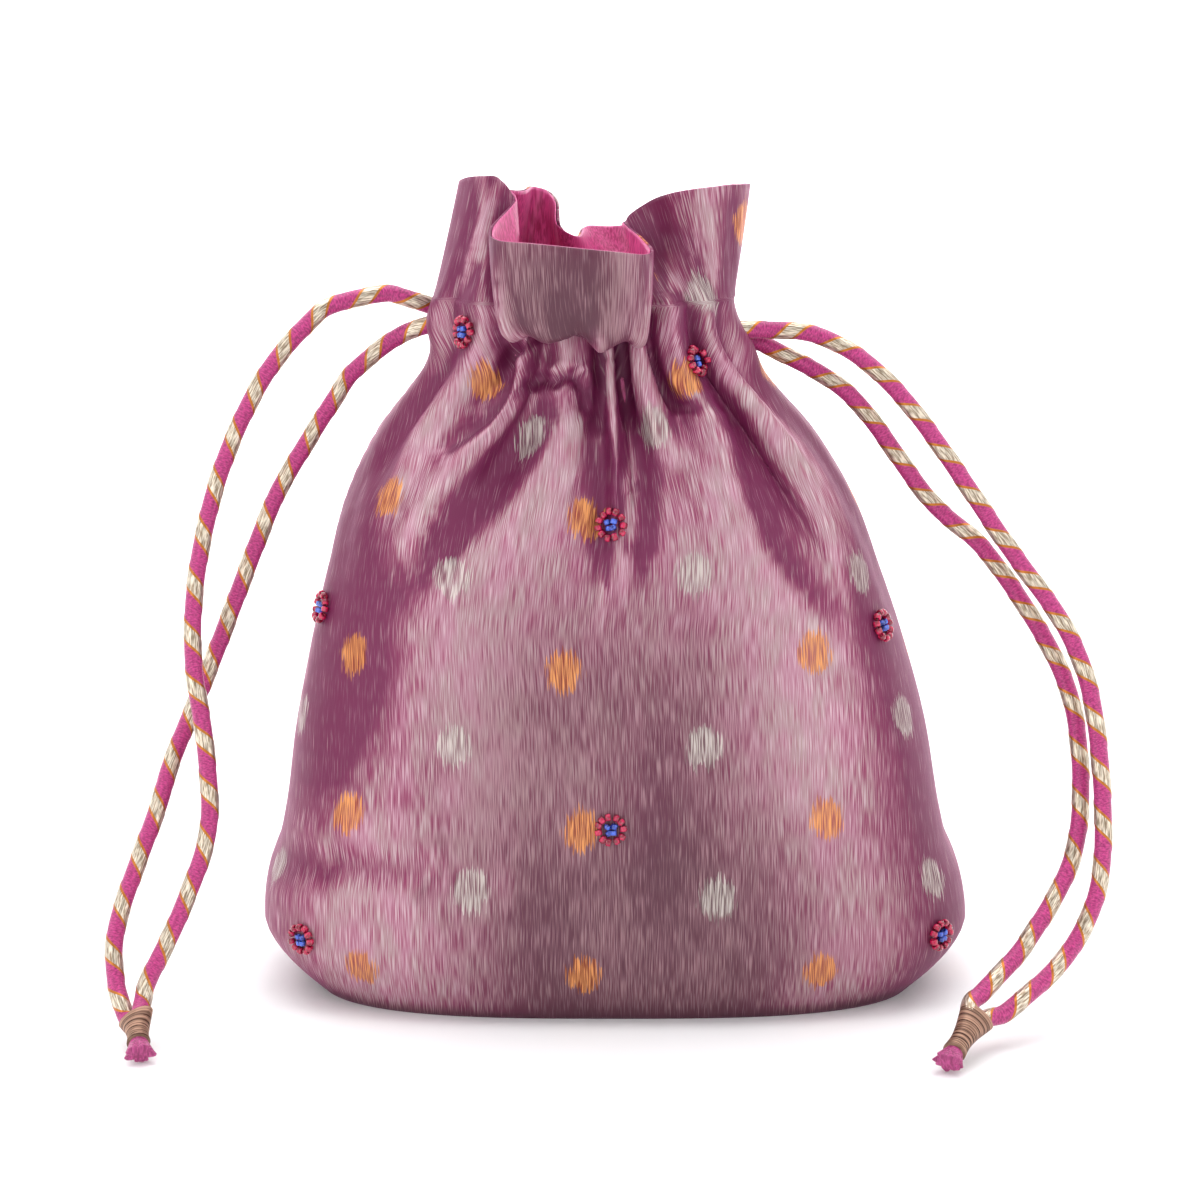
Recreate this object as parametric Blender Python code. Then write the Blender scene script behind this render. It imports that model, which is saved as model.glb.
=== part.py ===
"""Potli bag: a gathered drawstring pouch of brocade with a satin lining.

The cloth is a surface over two numbers, w and height.  w counts the pleats
around the bag: 0 is the middle of the left cord mouth, 9 the middle of the
right one, and a pleat's valley lies at each other whole number.  At one
height the outline is a superellipse, the valleys push it in, and each valley
fades out towards its foot.  Above the casing the cloth opens into a frill.
Metres, +Z up; the bag stands on its base at z = 0 and its front faces -Y.
"""
import math

import bmesh
import bpy
import numpy as np
from mathutils import Vector
from mathutils.bvhtree import BVHTree

MM = 0.001

# The stuffed bag
BELLY_WIDTH = 204 * MM
BELLY_DEPTH = 106 * MM
BELLY_SQUARENESS = 3.0
NECK_WIDTH = 82 * MM
NECK_DEPTH = 60 * MM
NECK_SQUARENESS = 2.4
NECK_HEIGHT = 193.2 * MM
NECK_SIDE_SHIFT = -8 * MM
FRILL_HEIGHT = 34 * MM
FRILL_SIDE_SHIFT = -4 * MM
FRILL_DROOP = 29 * MM
BASE_EDGE_RISE = 20 * MM
BASE_SIDE_INSET = 15 * MM
BASE_FRONT_INSET = 7 * MM

# Cloth thicknesses and the gap kept between touching pieces
CLOTH = 0.8 * MM
LINING = 0.5 * MM
LINING_EASE = 1.1 * MM
CASING_EASE = 1.6 * MM
FRILL_EASE = 0.4 * MM
GAP = 0.3 * MM

# Drawstrings, the casing they run in and the mouths they leave by
CORD_DIAMETER = 5.2 * MM
CORD_POINT_SPACING = 2 * CORD_DIAMETER
CASING_PITCH = 6.4 * MM
MOUTH_WIDTH = 15 * MM
LEFT_TAB = 4.5 * MM
RIGHT_TAB = 3.5 * MM
TAB_SPREAD = 8 * MM

# Bead flowers
BEAD_DIAMETER = 2.2 * MM
FLOWER_DIAMETER = 9.6 * MM
CENTRE_DIAMETER = 4.4 * MM
CENTRE_HEIGHT = 2.0 * MM
SEAT_EASE = 0.15 * MM

# Thread bindings and the cut ends below them
BINDING_DIAMETER = 5.8 * MM
BINDING_COLLAR_WIDTH = 11.6 * MM
TUFT_WIDTH = 8 * MM
TUFT_HEIGHT = 5.6 * MM
TUFT_LENGTH = 4.5 * MM

# Stations of the turned forms: the share of the length, then the half width
# and the half height as shares of the form's own
COLLAR_SHAPE = [(0.0, 1.0, 0.85), (0.14, 0.86, 0.76)]
THREAD_SHAPE = [(0.34, 1.1, 1.1), (0.7, 1.0, 1.0), (1.0, 1.05, 1.05)]
TUFT_SHAPE = [(0.0, 0.65, 0.93), (0.4, 0.88, 0.92), (1.0, 1.0, 1.0)]
KNOT_SHAPE = [(0.0, 0.72, 0.72), (0.5, 1.0, 1.0), (1.0, 0.6, 0.6)]

# A drawstring's hidden run round the neck: how far from the middle of its
# mouth it starts, as a share of the way round, and its number of points
RUN_START = 0.045
RUN_POINTS = 15

PLEATS = 18
COLUMNS_PER_PLEAT = 4
VALLEY_WIDTH = 0.34
VALLEY_SWELL = 0.7

# How far the sides have come in from belly to neck, by share of the height
SIDE_PROFILE = [
    (0.06, 0.0), (0.13, 0.0), (0.18, 0.03), (0.22, 0.08), (0.27, 0.115),
    (0.40, 0.18), (0.52, 0.27), (0.63, 0.37), (0.73, 0.475), (0.79, 0.57),
    (0.845, 0.68), (0.89, 0.80), (0.93, 0.905), (0.965, 0.97), (1.0, 1.0),
]

# Valleys 1 to 8 at the front and 10 to 17 at the back: the place around the
# neck and the place at the foot, both as a share of the way round, the
# foot's height as a share of the neck's, and the depth at the neck
VALLEYS = {
    1: (0.055, 0.072, 0.70, 3.0 * MM),
    2: (0.157, 0.124, 0.80, 4.5 * MM),
    3: (0.198, 0.142, 0.60, 4.8 * MM),
    4: (0.262, 0.239, 0.56, 4.5 * MM),
    5: (0.289, 0.262, 0.58, 5.0 * MM),
    6: (0.326, 0.328, 0.78, 4.5 * MM),
    7: (0.388, 0.408, 0.56, 5.5 * MM),
    8: (0.436, 0.428, 0.76, 3.0 * MM),
    10: (0.562, 0.576, 0.72, 3.0 * MM),
    11: (0.612, 0.622, 0.54, 5.0 * MM),
    12: (0.668, 0.664, 0.78, 4.5 * MM),
    13: (0.712, 0.716, 0.58, 5.0 * MM),
    14: (0.764, 0.762, 0.74, 4.5 * MM),
    15: (0.818, 0.812, 0.56, 5.5 * MM),
    16: (0.874, 0.862, 0.76, 4.5 * MM),
    17: (0.938, 0.922, 0.66, 3.5 * MM),
}

# The frill's rim, one point each half pleat from the left mouth: sideways
# and forwards as shares of the neck's half width and half depth, and up as
# a share of the frill's height
RIM = [
    (-0.98, 0.11, 0.93), (-0.93, -0.13, 0.98), (-0.80, -0.31, 1.00), (-0.70, -0.26, 0.98),
    (-0.60, -0.36, 0.80), (-0.74, -0.90, 0.62), (-0.71, -1.33, 0.55), (-0.46, -1.48, 0.53),
    (-0.17, -1.52, 0.50), (0.09, -1.50, 0.47), (0.29, -1.36, 0.44), (0.34, -0.90, 0.46),
    (0.22, -0.40, 0.58), (0.17, -0.24, 0.66), (0.33, -0.32, 0.80), (0.46, -0.52, 0.87),
    (0.66, -0.57, 0.91), (0.88, -0.40, 0.93), (1.00, -0.11, 0.92), (1.00, 0.20, 0.91),
    (0.83, 0.31, 0.88), (0.76, 0.57, 0.85), (0.56, 0.48, 0.78), (0.49, 0.84, 0.66),
    (0.29, 1.12, 0.52), (0.07, 1.21, 0.48), (-0.12, 1.06, 0.49), (-0.18, 0.62, 0.44),
    (-0.30, 0.42, 0.56), (-0.31, 0.64, 0.73), (-0.38, 0.88, 0.81), (-0.50, 0.84, 0.85),
    (-0.56, 0.51, 0.84), (-0.66, 0.37, 0.86), (-0.76, 0.57, 0.88), (-0.90, 0.40, 0.90),
]

# Bead flowers: the place round the bag and the height as a share of the neck's
FLOWERS = [
    (0.088, 0.990), (0.387, 0.956), (0.250, 0.731), (0.040, 0.582), (0.440, 0.565),
    (0.248, 0.295), (0.079, 0.109), (0.430, 0.109), (0.585, 0.295), (0.752, 0.109),
    (0.918, 0.295), (0.590, 0.731), (0.752, 0.570), (0.905, 0.731), (0.790, 0.950),
]

# Free strands in millimetres, from the mouth to the binding
LEFT_UPPER = [
    (-47, 3.5, 196), (-51.5, 2, 196), (-60, -0.5, 199), (-65.5, -0.5, 200),
    (-78.5, -2.5, 197.5), (-86, -4.5, 193), (-99.5, -9, 177), (-111, -15.5, 152.5),
    (-117.5, -23.5, 125.5), (-118.5, -31, 101.5), (-115, -36.5, 77), (-114, -43, 54.5),
    (-121, -51.5, 33.5), (-129, -60.5, 17), (-130.5, -63.5, 11.5),
]
LEFT_LOWER = [
    (-47, -3.5, 193.5), (-52, -1.5, 191.5), (-61.5, 0.5, 188), (-74, 0, 178.5),
    (-80, -1.5, 170.5), (-93, -5.5, 150), (-99.5, -8.5, 137), (-115, -19, 97),
    (-125.5, -29.5, 71), (-129, -35.5, 59), (-137.5, -47.5, 35), (-139.5, -53.5, 24.5),
    (-138.5, -59, 16), (-136.5, -63, 11), (-134.5, -66, 7.5),
]
RIGHT_OUTER = [
    (32, -3.5, 189.5), (36.5, -2.5, 190), (59.5, -2, 187.5), (81.5, -7, 171),
    (110, -19, 131.5), (127.5, -28, 106.5), (134.5, -35.5, 82), (135.5, -46, 44.5),
    (126, -56, 24), (108.5, -67, 11), (101.5, -70, 9),
]
RIGHT_INNER = [
    (32, 3.5, 188.5), (37, 2.5, 187), (46, 1.5, 183.5), (67.5, -1.5, 170.5),
    (89.5, -7, 142), (106.5, -12, 126.5), (125.5, -21, 97), (131, -29.5, 73.5),
    (128.5, -40.5, 47), (114.5, -54.5, 26.5), (101, -65.5, 15.5), (97, -69, 13),
]

# A binding's axis in millimetres, from the strands to the cut ends
LEFT_BINDING = [(-131.8, -67.7, 8.5), (-129.6, -77.4, 4.8)]
RIGHT_BINDING = [(98.5, -71.1, 10.3), (90.6, -85.0, 5.0)]

# Where a frill lobe bends, as shares of the way from casing to rim, the
# overhangs, as shares of the frill's height, between which it comes to droop,
# the share of a valley's depth that a drooping lobe takes up, and how much
# thicker the cloth is where it folds over the casing
UPRIGHT_KNEE = np.array([0.45, 0.45, 0.35])
LEANING_KNEE = np.array([0.80, 0.80, 0.15])
LEAN_START = 0.10
LEAN_FULL = 0.33
VALLEY_OPENING = 0.75
FOLD_STRETCH = 0.5

BODY_ROWS = [0.22, 0.29, 0.42, 0.53, 0.63, 0.71, 0.78, 0.84, 0.89, 0.933]
LINING_BODY_ROWS = [0.29, 0.45, 0.71, 0.80, 0.87, 0.933]
FRILL_ROWS = [0.22, 0.48, 0.74, 1.0]


def clear_scene():
    for old in list(bpy.data.objects):
        bpy.data.objects.remove(old, do_unlink=True)


def material(name, colour, roughness, metallic=0.0):
    made = bpy.data.materials.new(name)
    made.use_nodes = True
    shader = made.node_tree.nodes["Principled BSDF"]
    shader.inputs["Base Color"].default_value = (*colour, 1.0)
    shader.inputs["Roughness"].default_value = roughness
    shader.inputs["Metallic"].default_value = metallic
    return made


def smooth_step(value):
    share = np.clip(value, 0.0, 1.0)
    return share * share * (3 - 2 * share)


def smooth_curve(xs, ys, x):
    """Cubic curve through the points (xs, ys), read at x."""
    xs, ys = np.array(xs, float), np.array(ys, float)
    slope = np.gradient(ys, xs)
    i = np.clip(np.searchsorted(xs, x) - 1, 0, len(xs) - 2)
    step = xs[i + 1] - xs[i]
    t = np.clip((x - xs[i]) / step, 0.0, 1.0)
    start = (1 + 2 * t) * (1 - t) ** 2 * ys[i] + t * (1 - t) ** 2 * step * slope[i]
    end = t * t * (3 - 2 * t) * ys[i + 1] + t * t * (t - 1) * step * slope[i + 1]
    return start + end


def outline(height):
    """Half width, half depth, squareness and side shift of the bag there."""
    share = height / NECK_HEIGHT
    profile_heights, profile_shares = zip(*SIDE_PROFILE)
    closing = smooth_curve(profile_heights, profile_shares, share)
    half_width = (BELLY_WIDTH + (NECK_WIDTH - BELLY_WIDTH) * closing) / 2
    half_depth = (BELLY_DEPTH + (NECK_DEPTH - BELLY_DEPTH) * closing) / 2
    squareness = BELLY_SQUARENESS + (NECK_SQUARENESS - BELLY_SQUARENESS) * closing
    shift = NECK_SIDE_SHIFT * min(share, 1.0) ** 2.2
    return half_width, half_depth, squareness, shift


def superellipse(half_width, half_depth, squareness, shift, places):
    """Points at these shares of the way round, from -X over -Y, and the
    length of the whole outline."""
    turn = np.linspace(0.0, 2 * math.pi, 1441)
    cosine, sine = -np.cos(turn), -np.sin(turn)
    x = half_width * np.sign(cosine) * np.abs(cosine) ** (2 / squareness) + shift
    y = half_depth * np.sign(sine) * np.abs(sine) ** (2 / squareness)
    run = np.concatenate([[0.0], np.cumsum(np.hypot(np.diff(x), np.diff(y)))])
    around = np.mod(places, 1.0) * run[-1]
    return np.stack([np.interp(around, run, x), np.interp(around, run, y)], 1), run[-1]


def run_direction(ring):
    """Unit direction of a closed ring at each point, halfway between its two
    edges, and how much further a point moves there to keep the edges' offset."""
    ahead = np.roll(ring, -1, 0) - ring
    ahead /= np.linalg.norm(ahead, axis=1, keepdims=True)
    along = ahead + np.roll(ahead, 1, 0)
    length = np.linalg.norm(along, axis=1, keepdims=True)
    return along / length, 2 / np.maximum(length, 1.0)


def plan_normals(points):
    """Outward normals in plan of a closed ring that runs from -X over -Y."""
    along, _ = run_direction(points)
    return np.stack([along[:, 1], -along[:, 0]], 1)


def columns():
    count = PLEATS * COLUMNS_PER_PLEAT
    return np.arange(count) / COLUMNS_PER_PLEAT


def places_round(w, height):
    """Where each column lies round the bag: evenly near the base, on the
    valleys' own lines above their feet."""
    share = min(height / NECK_HEIGHT, 1.0)
    mouth = MOUTH_WIDTH / 2 / superellipse(*outline(NECK_HEIGHT), np.zeros(1))[1]
    knots = [(-0.5, -mouth), (0.5, mouth), (PLEATS / 2 - 0.5, 0.5 - mouth)]
    knots += [(PLEATS / 2 + 0.5, 0.5 + mouth), (PLEATS - 0.5, 1 - mouth), (PLEATS + 0.5, 1 + mouth)]
    knots = [(at, place, place, 0.0) for at, place in knots]
    knots += [(at, top, foot, foot_share) for at, (top, foot, foot_share, _) in VALLEYS.items()]
    lines = []
    for at, top, foot, foot_share in sorted(knots):
        upper = foot + (top - foot) * np.clip((share - foot_share) / (1 - foot_share), 0, 1)
        evenness = 1 - smooth_step(share / max(foot_share, 0.5))
        lines.append((at, upper + (at / PLEATS - upper) * evenness))
    return np.interp(w, *zip(*lines))


def valley_push(w, height):
    """How far the valleys push each column in at this height."""
    share = min(height / NECK_HEIGHT, 1.0)
    push = np.zeros(len(w))
    for at, (_, _, foot_share, depth) in VALLEYS.items():
        away = np.mod(w - at + PLEATS / 2, PLEATS) - PLEATS / 2
        run = np.clip((share - foot_share) / (1 - foot_share), 0, 1)
        fade = smooth_step(run / 0.7) * (1 + VALLEY_SWELL * math.sin(math.pi * run))
        push += depth * fade * np.exp(-np.abs(away / VALLEY_WIDTH) ** 1.8)
    return push


def tab_push(w, height):
    """The casing's ends stand out a little round the cords."""
    push = np.zeros(len(w))
    left = (0, LEFT_TAB, NECK_HEIGHT)
    right = (PLEATS / 2, RIGHT_TAB, NECK_HEIGHT - CASING_PITCH)
    for at, reach, level in (left, right):
        away = np.abs(np.mod(w - at + PLEATS / 2, PLEATS) - PLEATS / 2)
        rise = np.exp(-(((height - level) / TAB_SPREAD) ** 2))
        push += reach * rise * (1 - smooth_step((away - 0.4) / 0.8))
    return push


def body_ring(w, height, inset=0.0, side_inset=0.0, front_inset=0.0):
    """One ring of the pleated wall; inset moves it in along its own normals."""
    half_width, half_depth, squareness, shift = outline(height)
    size = (half_width - side_inset, half_depth - front_inset, squareness, shift)
    points, _ = superellipse(*size, places_round(w, height))
    points += plan_normals(points) * (tab_push(w, height) - valley_push(w, height))[:, None]
    points -= plan_normals(points) * run_direction(points)[1] * inset
    return np.column_stack([points, np.full(len(w), height)])


def rim_points(w):
    """The rim, a smooth closed curve through its points."""
    rim = np.array(RIM)
    spot = np.mod(w, PLEATS) * len(RIM) / PLEATS
    i, t = spot.astype(int), (spot % 1)[:, None]
    before, start, end, after = (rim[(i + k) % len(RIM)] for k in (-1, 0, 1, 2))
    slope_in, slope_out = (end - before) / 2, (after - start) / 2
    shape = (1 + 2 * t) * (1 - t) ** 2 * start + t * (1 - t) ** 2 * slope_in
    shape += t * t * (3 - 2 * t) * end + t * t * (t - 1) * slope_out
    size = np.array([NECK_WIDTH / 2, NECK_DEPTH / 2, FRILL_HEIGHT])
    return shape * size + np.array([FRILL_SIDE_SHIFT, 0, casing_top()])


def casing_top():
    return NECK_HEIGHT + CASING_PITCH


def frill_ring(w, rise, inset=0.0):
    """One ring of the frill; lobes that lean out leave the casing low, and
    the valleys open out under them."""
    rim = rim_points(w)
    neck, _ = superellipse(*outline(NECK_HEIGHT), places_round(w, NECK_HEIGHT))
    outward = plan_normals(neck)
    overhang = ((rim[:, :2] - neck) * outward).sum(axis=1, keepdims=True)
    lean = smooth_step((overhang / FRILL_HEIGHT - LEAN_START) / (LEAN_FULL - LEAN_START))
    lean = sum(np.roll(lean, shift, 0) for shift in range(-3, 4)) / 7
    push = tab_push(w, casing_top())[:, None]
    push -= valley_push(w, casing_top())[:, None] * (1 - VALLEY_OPENING * lean)
    foot = np.column_stack([neck + outward * push, np.full(len(w), casing_top())])
    knee = foot + (rim - foot) * (UPRIGHT_KNEE + (LEANING_KNEE - UPRIGHT_KNEE) * lean)
    knee[:, 2:] -= FRILL_DROOP * lean**2
    ring = (1 - rise) ** 2 * foot + 2 * rise * (1 - rise) * knee + rise**2 * rim
    upward = 2 * (1 - rise) * (knee - foot) + 2 * rise * (rim - knee)
    if rise == 0:
        upward = upward / np.linalg.norm(upward, axis=1, keepdims=True) + np.array([0, 0, 1])
        inset = inset * (1 + FOLD_STRETCH * lean)
    along, stretch = run_direction(ring)
    facing = np.cross(along, upward)
    return ring - facing / np.linalg.norm(facing, axis=1, keepdims=True) * stretch * inset


def base_edge_rings(w, inset):
    """The rounded edge between base and wall: where it has risen by a share
    of its height, it is still drawn in by (1 - share) to the power 1.5."""
    rings = []
    for share in (0.0, 0.5, 1.0):
        drawn_in = (1 - share) ** 1.5
        sides = BASE_SIDE_INSET * drawn_in + inset
        front = BASE_FRONT_INSET * drawn_in + inset
        ring = body_ring(w, BASE_EDGE_RISE, 0.0, sides, front)
        ring[:, 2] = (BASE_EDGE_RISE - inset) * share + inset
        rings.append(ring)
    return rings


def outer_rings(w, inset):
    rings = base_edge_rings(w, inset)
    rings += [body_ring(w, share * NECK_HEIGHT, inset) for share in BODY_ROWS]
    for level in (-1, 0):
        rings.append(body_ring(w, NECK_HEIGHT + level * CASING_PITCH, inset))
    return rings + [frill_ring(w, rise, inset) for rise in [0.0] + FRILL_ROWS]


def inner_ring(places, level, inset):
    """A smooth ring inside the deepest valley there, this much further in."""
    clear = valley_push(columns(), level).max() + CLOTH + LINING_EASE + inset
    steps = np.arange(720) / 720
    ring, _ = superellipse(*outline(level), steps)
    ring -= plan_normals(ring) * clear
    spots = [np.interp(places, steps, ring[:, axis], period=1.0) for axis in (0, 1)]
    return np.column_stack([*spots, np.full(len(places), level)])


def lining_rings(w, inset):
    """The lining hangs smooth inside the valleys and the cords and lies on
    the brocade in the frill."""
    rings = base_edge_rings(w, CLOTH + LINING_EASE + inset)[:1]
    for share in LINING_BODY_ROWS:
        height = share * NECK_HEIGHT
        rings.append(inner_ring(places_round(w, height), height, inset))
    places = places_round(w, NECK_HEIGHT)
    for level in (NECK_HEIGHT - CASING_PITCH, casing_top() + 2 * GAP + inset):
        rings.append(inner_ring(places, level, CORD_DIAMETER + CASING_EASE + inset))
    for rise in [0.0] + FRILL_ROWS:
        rings.append(frill_ring(w, rise, CLOTH + GAP + inset + FRILL_EASE * (1 - rise)))
    rings[-len(FRILL_ROWS) - 1][:, 2] += GAP + inset
    return rings


def add_object(name, data, look):
    made = bpy.data.objects.new(name, data)
    bpy.context.collection.objects.link(made)
    data.materials.append(look)
    return made


def closed_solid(name, mesh, look):
    """An object of a closed mesh, with its faces turned outwards."""
    bmesh.ops.recalc_face_normals(mesh, faces=mesh.faces)
    data = bpy.data.meshes.new(name)
    mesh.to_mesh(data)
    mesh.free()
    data.shade_smooth()
    return add_object(name, data, look)


def cloth_shell(name, outside, inside, look, openings=()):
    """A shell between two stacks of rings, closed at the base and the rim.
    openings are (first column, last column, lower ring, upper ring)."""
    mesh = bmesh.new()
    skins = [[[mesh.verts.new(p) for p in ring] for ring in stack] for stack in (outside, inside)]
    count = len(outside[0])
    cut = set()
    for first, last, low, high in openings:
        cut |= {(row, column % count) for row in range(low, high) for column in range(first, last)}
    for row in range(len(outside) - 1):
        for column in range(count):
            if (row, column) in cut:
                continue
            after = (column + 1) % count
            for skin, turned in zip(skins, (False, True)):
                lower, upper = skin[row], skin[row + 1]
                for far in ((lower[after], upper[after]), (upper[after], upper[column])):
                    corners = [lower[column], *far]
                    mesh.faces.new(corners[::-1] if turned else corners)
    outer, inner = skins
    mesh.faces.new(outer[0][::-1])
    mesh.faces.new(inner[0])
    for column in range(count):
        after = (column + 1) % count
        mesh.faces.new([outer[-1][column], outer[-1][after], inner[-1][after], inner[-1][column]])
    for first, last, low, high in openings:
        edge = [(low, c % count) for c in range(first, last)]
        edge += [(r, last % count) for r in range(low, high)]
        edge += [(high, c % count) for c in range(last, first, -1)]
        edge += [(r, first % count) for r in range(high, low, -1)]
        for here, there in zip(edge, edge[1:] + edge[:1]):
            a, b = outer[here[0]][here[1]], outer[there[0]][there[1]]
            c, d = inner[there[0]][there[1]], inner[here[0]][here[1]]
            mesh.faces.new([d, c, b, a][::-1])
    return closed_solid(name, mesh, look)


def spline_points(route, spacing):
    """Evenly spaced points on a smooth curve through the route."""
    route = np.array(route, float)
    ends = np.vstack([2 * route[0] - route[1], route, 2 * route[-1] - route[-2]])
    fine = []
    t = np.linspace(0, 1, 24, endpoint=False)[:, None]
    for before, start, end, after in zip(ends, ends[1:], ends[2:], ends[3:]):
        slope_in, slope_out = (end - before) / 2, (after - start) / 2
        curve = (1 + 2 * t) * (1 - t) ** 2 * start + t * (1 - t) ** 2 * slope_in
        fine.append(curve + t * t * (3 - 2 * t) * end + t * t * (t - 1) * slope_out)
    fine = np.vstack(fine + [route[-1:]])
    run = np.concatenate([[0], np.cumsum(np.linalg.norm(np.diff(fine, axis=0), axis=1))])
    count = math.ceil(run[-1] / spacing) + 1
    stops = np.linspace(0, run[-1], count)
    return np.stack([np.interp(stops, run, fine[:, axis]) for axis in range(3)], 1)


def cord(name, route, look):
    points = spline_points(route, CORD_POINT_SPACING)
    data = bpy.data.curves.new(name, "CURVE")
    data.dimensions = "3D"
    data.bevel_depth = CORD_DIAMETER / 2
    data.bevel_resolution = 2
    data.render_resolution_u = 0
    data.use_fill_caps = True
    spline = data.splines.new("POLY")
    spline.points.add(len(points) - 1)
    spline.points.foreach_set("co", np.column_stack([points, np.ones(len(points))]).ravel())
    return add_object(name, data, look)


def sized(shape, half_width, half_height=None):
    """Stations in metres from a shape's shares."""
    half_height = half_height or half_width
    return [(share, wide * half_width, tall * half_height) for share, wide, tall in shape]


def lofted(name, start, end, stations, look, sides=10):
    """A solid along start to end; stations are (share, half width, half height)."""
    axis = (end - start).normalized()
    across = axis.cross(Vector((0, 0, 1))).normalized()
    upward = across.cross(axis)
    mesh = bmesh.new()
    rings = []
    for share, half_width, half_height in stations:
        middle = start.lerp(end, share)
        ring = []
        for side in range(sides):
            turn = math.tau * side / sides
            spot = middle + across * (half_width * math.cos(turn))
            ring.append(mesh.verts.new(spot + upward * (half_height * math.sin(turn))))
        rings.append(ring)
    for lower, upper in zip(rings, rings[1:]):
        for side in range(sides):
            after = (side + 1) % sides
            mesh.faces.new([lower[side], lower[after], upper[after], upper[side]])
    mesh.faces.new(rings[0])
    mesh.faces.new(rings[-1])
    made = closed_solid(name, mesh, look)
    made.data.set_sharp_from_angle(angle=math.radians(50))
    return made


def lift_clear(spots, facing, cloth):
    """How far these spots stand along facing when, coming down from outside,
    the first of them is the gap away from the cloth."""
    lift = FLOWER_DIAMETER
    for _ in range(20):
        nearest = min(cloth.find_nearest(spot + facing * lift)[3] for spot in spots)
        lift -= nearest - GAP
    return lift + SEAT_EASE


def flower_seat(place, height_share, cloth):
    """Where a flower sits on the cloth: its middle and its three directions."""
    height = height_share * NECK_HEIGHT
    rise = 4 * MM
    span = np.array([place - 0.01, place, place + 0.01])
    level, above = (superellipse(*outline(z), span)[0] for z in (height, height + rise))
    across = Vector((*(level[2] - level[0]), 0)).normalized()
    upward = Vector((*(above[1] - level[1]), rise)).normalized()
    facing = across.cross(upward).normalized()
    outside = Vector((*level[1], height)) + facing * 30 * MM
    return cloth.ray_cast(outside, -facing)[0], across, upward, facing


def bead_ring(name, seat, cloth, look):
    """The ring of beads: a coarse torus that follows the cloth under it."""
    middle, across, upward, facing = seat
    bead = BEAD_DIAMETER / 2
    path_radius = FLOWER_DIAMETER / 2 - bead
    mesh = bmesh.new()
    sections, sides = 12, 4
    leans = [math.tau * (side + 0.5) / sides for side in range(sides)]
    sets, lifts = [], []
    for half_step in range(2 * sections):
        turn = math.tau * half_step / (2 * sections)
        outward = across * math.cos(turn) + upward * math.sin(turn)
        spot = middle + outward * path_radius
        sets.append([spot + bead * (outward * math.cos(a) + facing * math.sin(a)) for a in leans])
        lifts.append(lift_clear(sets[-1], facing, cloth))
    rings = []
    for section in range(0, 2 * sections, 2):
        lift = max(lifts[section - 1], lifts[section], lifts[section + 1])
        rings.append([mesh.verts.new(corner + facing * lift) for corner in sets[section]])
    for here, there in zip(rings, rings[1:] + rings[:1]):
        for side in range(sides):
            after = (side + 1) % sides
            mesh.faces.new([here[side], here[after], there[after], there[side]])
    closed_solid(name, mesh, look)


def bead_knot(name, seat, cloth, look):
    """The small knot of beads in the ring."""
    middle, across, upward, facing = seat
    radius = CENTRE_DIAMETER / 2
    footprint = [middle] + [
        middle + radius * (across * math.cos(turn) + upward * math.sin(turn))
        for turn in np.linspace(0, math.tau, 8, endpoint=False)
    ]
    low = middle + facing * lift_clear(footprint, facing, cloth)
    lofted(name, low, low + facing * CENTRE_HEIGHT, sized(KNOT_SHAPE, radius), look, 6)


def bead_flowers(outer, ring_look, centre_look):
    bpy.context.view_layer.update()
    cloth = BVHTree.FromObject(outer, bpy.context.evaluated_depsgraph_get())
    for number, (place, height_share) in enumerate(FLOWERS, 1):
        seat = flower_seat(place, height_share, cloth)
        bead_ring(f"bead_flower_{number:02d}_ring", seat, cloth, ring_look)
        bead_knot(f"bead_flower_{number:02d}_centre", seat, cloth, centre_look)


def outer_bag(look):
    """The brocade, open at the two mouths that the cords leave by."""
    w = columns()
    half = COLUMNS_PER_PLEAT // 2
    right = PLEATS * COLUMNS_PER_PLEAT // 2
    casing = 3 + len(BODY_ROWS)
    left_mouth = (-half, half, casing, casing + 2)
    right_mouth = (right - half, right + half, casing - 1, casing + 1)
    skins = outer_rings(w, 0.0), outer_rings(w, CLOTH)
    return cloth_shell("outer_bag", *skins, look, [left_mouth, right_mouth])


def drawstrings(look):
    """Each cord goes in at its mouth, once round the neck and out again; the
    left one runs above the right one."""
    middle = CORD_DIAMETER / 2
    left_places = np.linspace(1 - RUN_START, RUN_START, RUN_POINTS)
    right_places = np.linspace(0.5 - RUN_START, RUN_START - 0.5, RUN_POINTS)
    runs = {
        "left": (LEFT_UPPER, left_places, NECK_HEIGHT + middle + GAP, LEFT_LOWER),
        "right": (RIGHT_OUTER, right_places, NECK_HEIGHT - middle - GAP, RIGHT_INNER),
    }
    for side, (before, places, level, after) in runs.items():
        hidden = inner_ring(places, level, middle)
        route = np.vstack([np.array(before[::-1]) * MM, hidden, np.array(after) * MM])
        cord(f"drawstring_{side}", route, look)


def strand_ends(thread_look, cord_look):
    """A thread binding round each pair of strands and the cut ends below it."""
    collar = sized(COLLAR_SHAPE, BINDING_COLLAR_WIDTH / 2)
    thread = sized(THREAD_SHAPE, BINDING_DIAMETER / 2)
    tuft = sized(TUFT_SHAPE, TUFT_WIDTH / 2, TUFT_HEIGHT / 2)
    for side, axis in (("left", LEFT_BINDING), ("right", RIGHT_BINDING)):
        start, end = (Vector(p) * MM for p in axis)
        along = (end - start).normalized()
        lofted(f"binding_{side}", start, end, collar + thread, thread_look)
        below = end + along * GAP
        lofted(f"cord_end_{side}", below, below + along * TUFT_LENGTH, tuft, cord_look)


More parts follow.
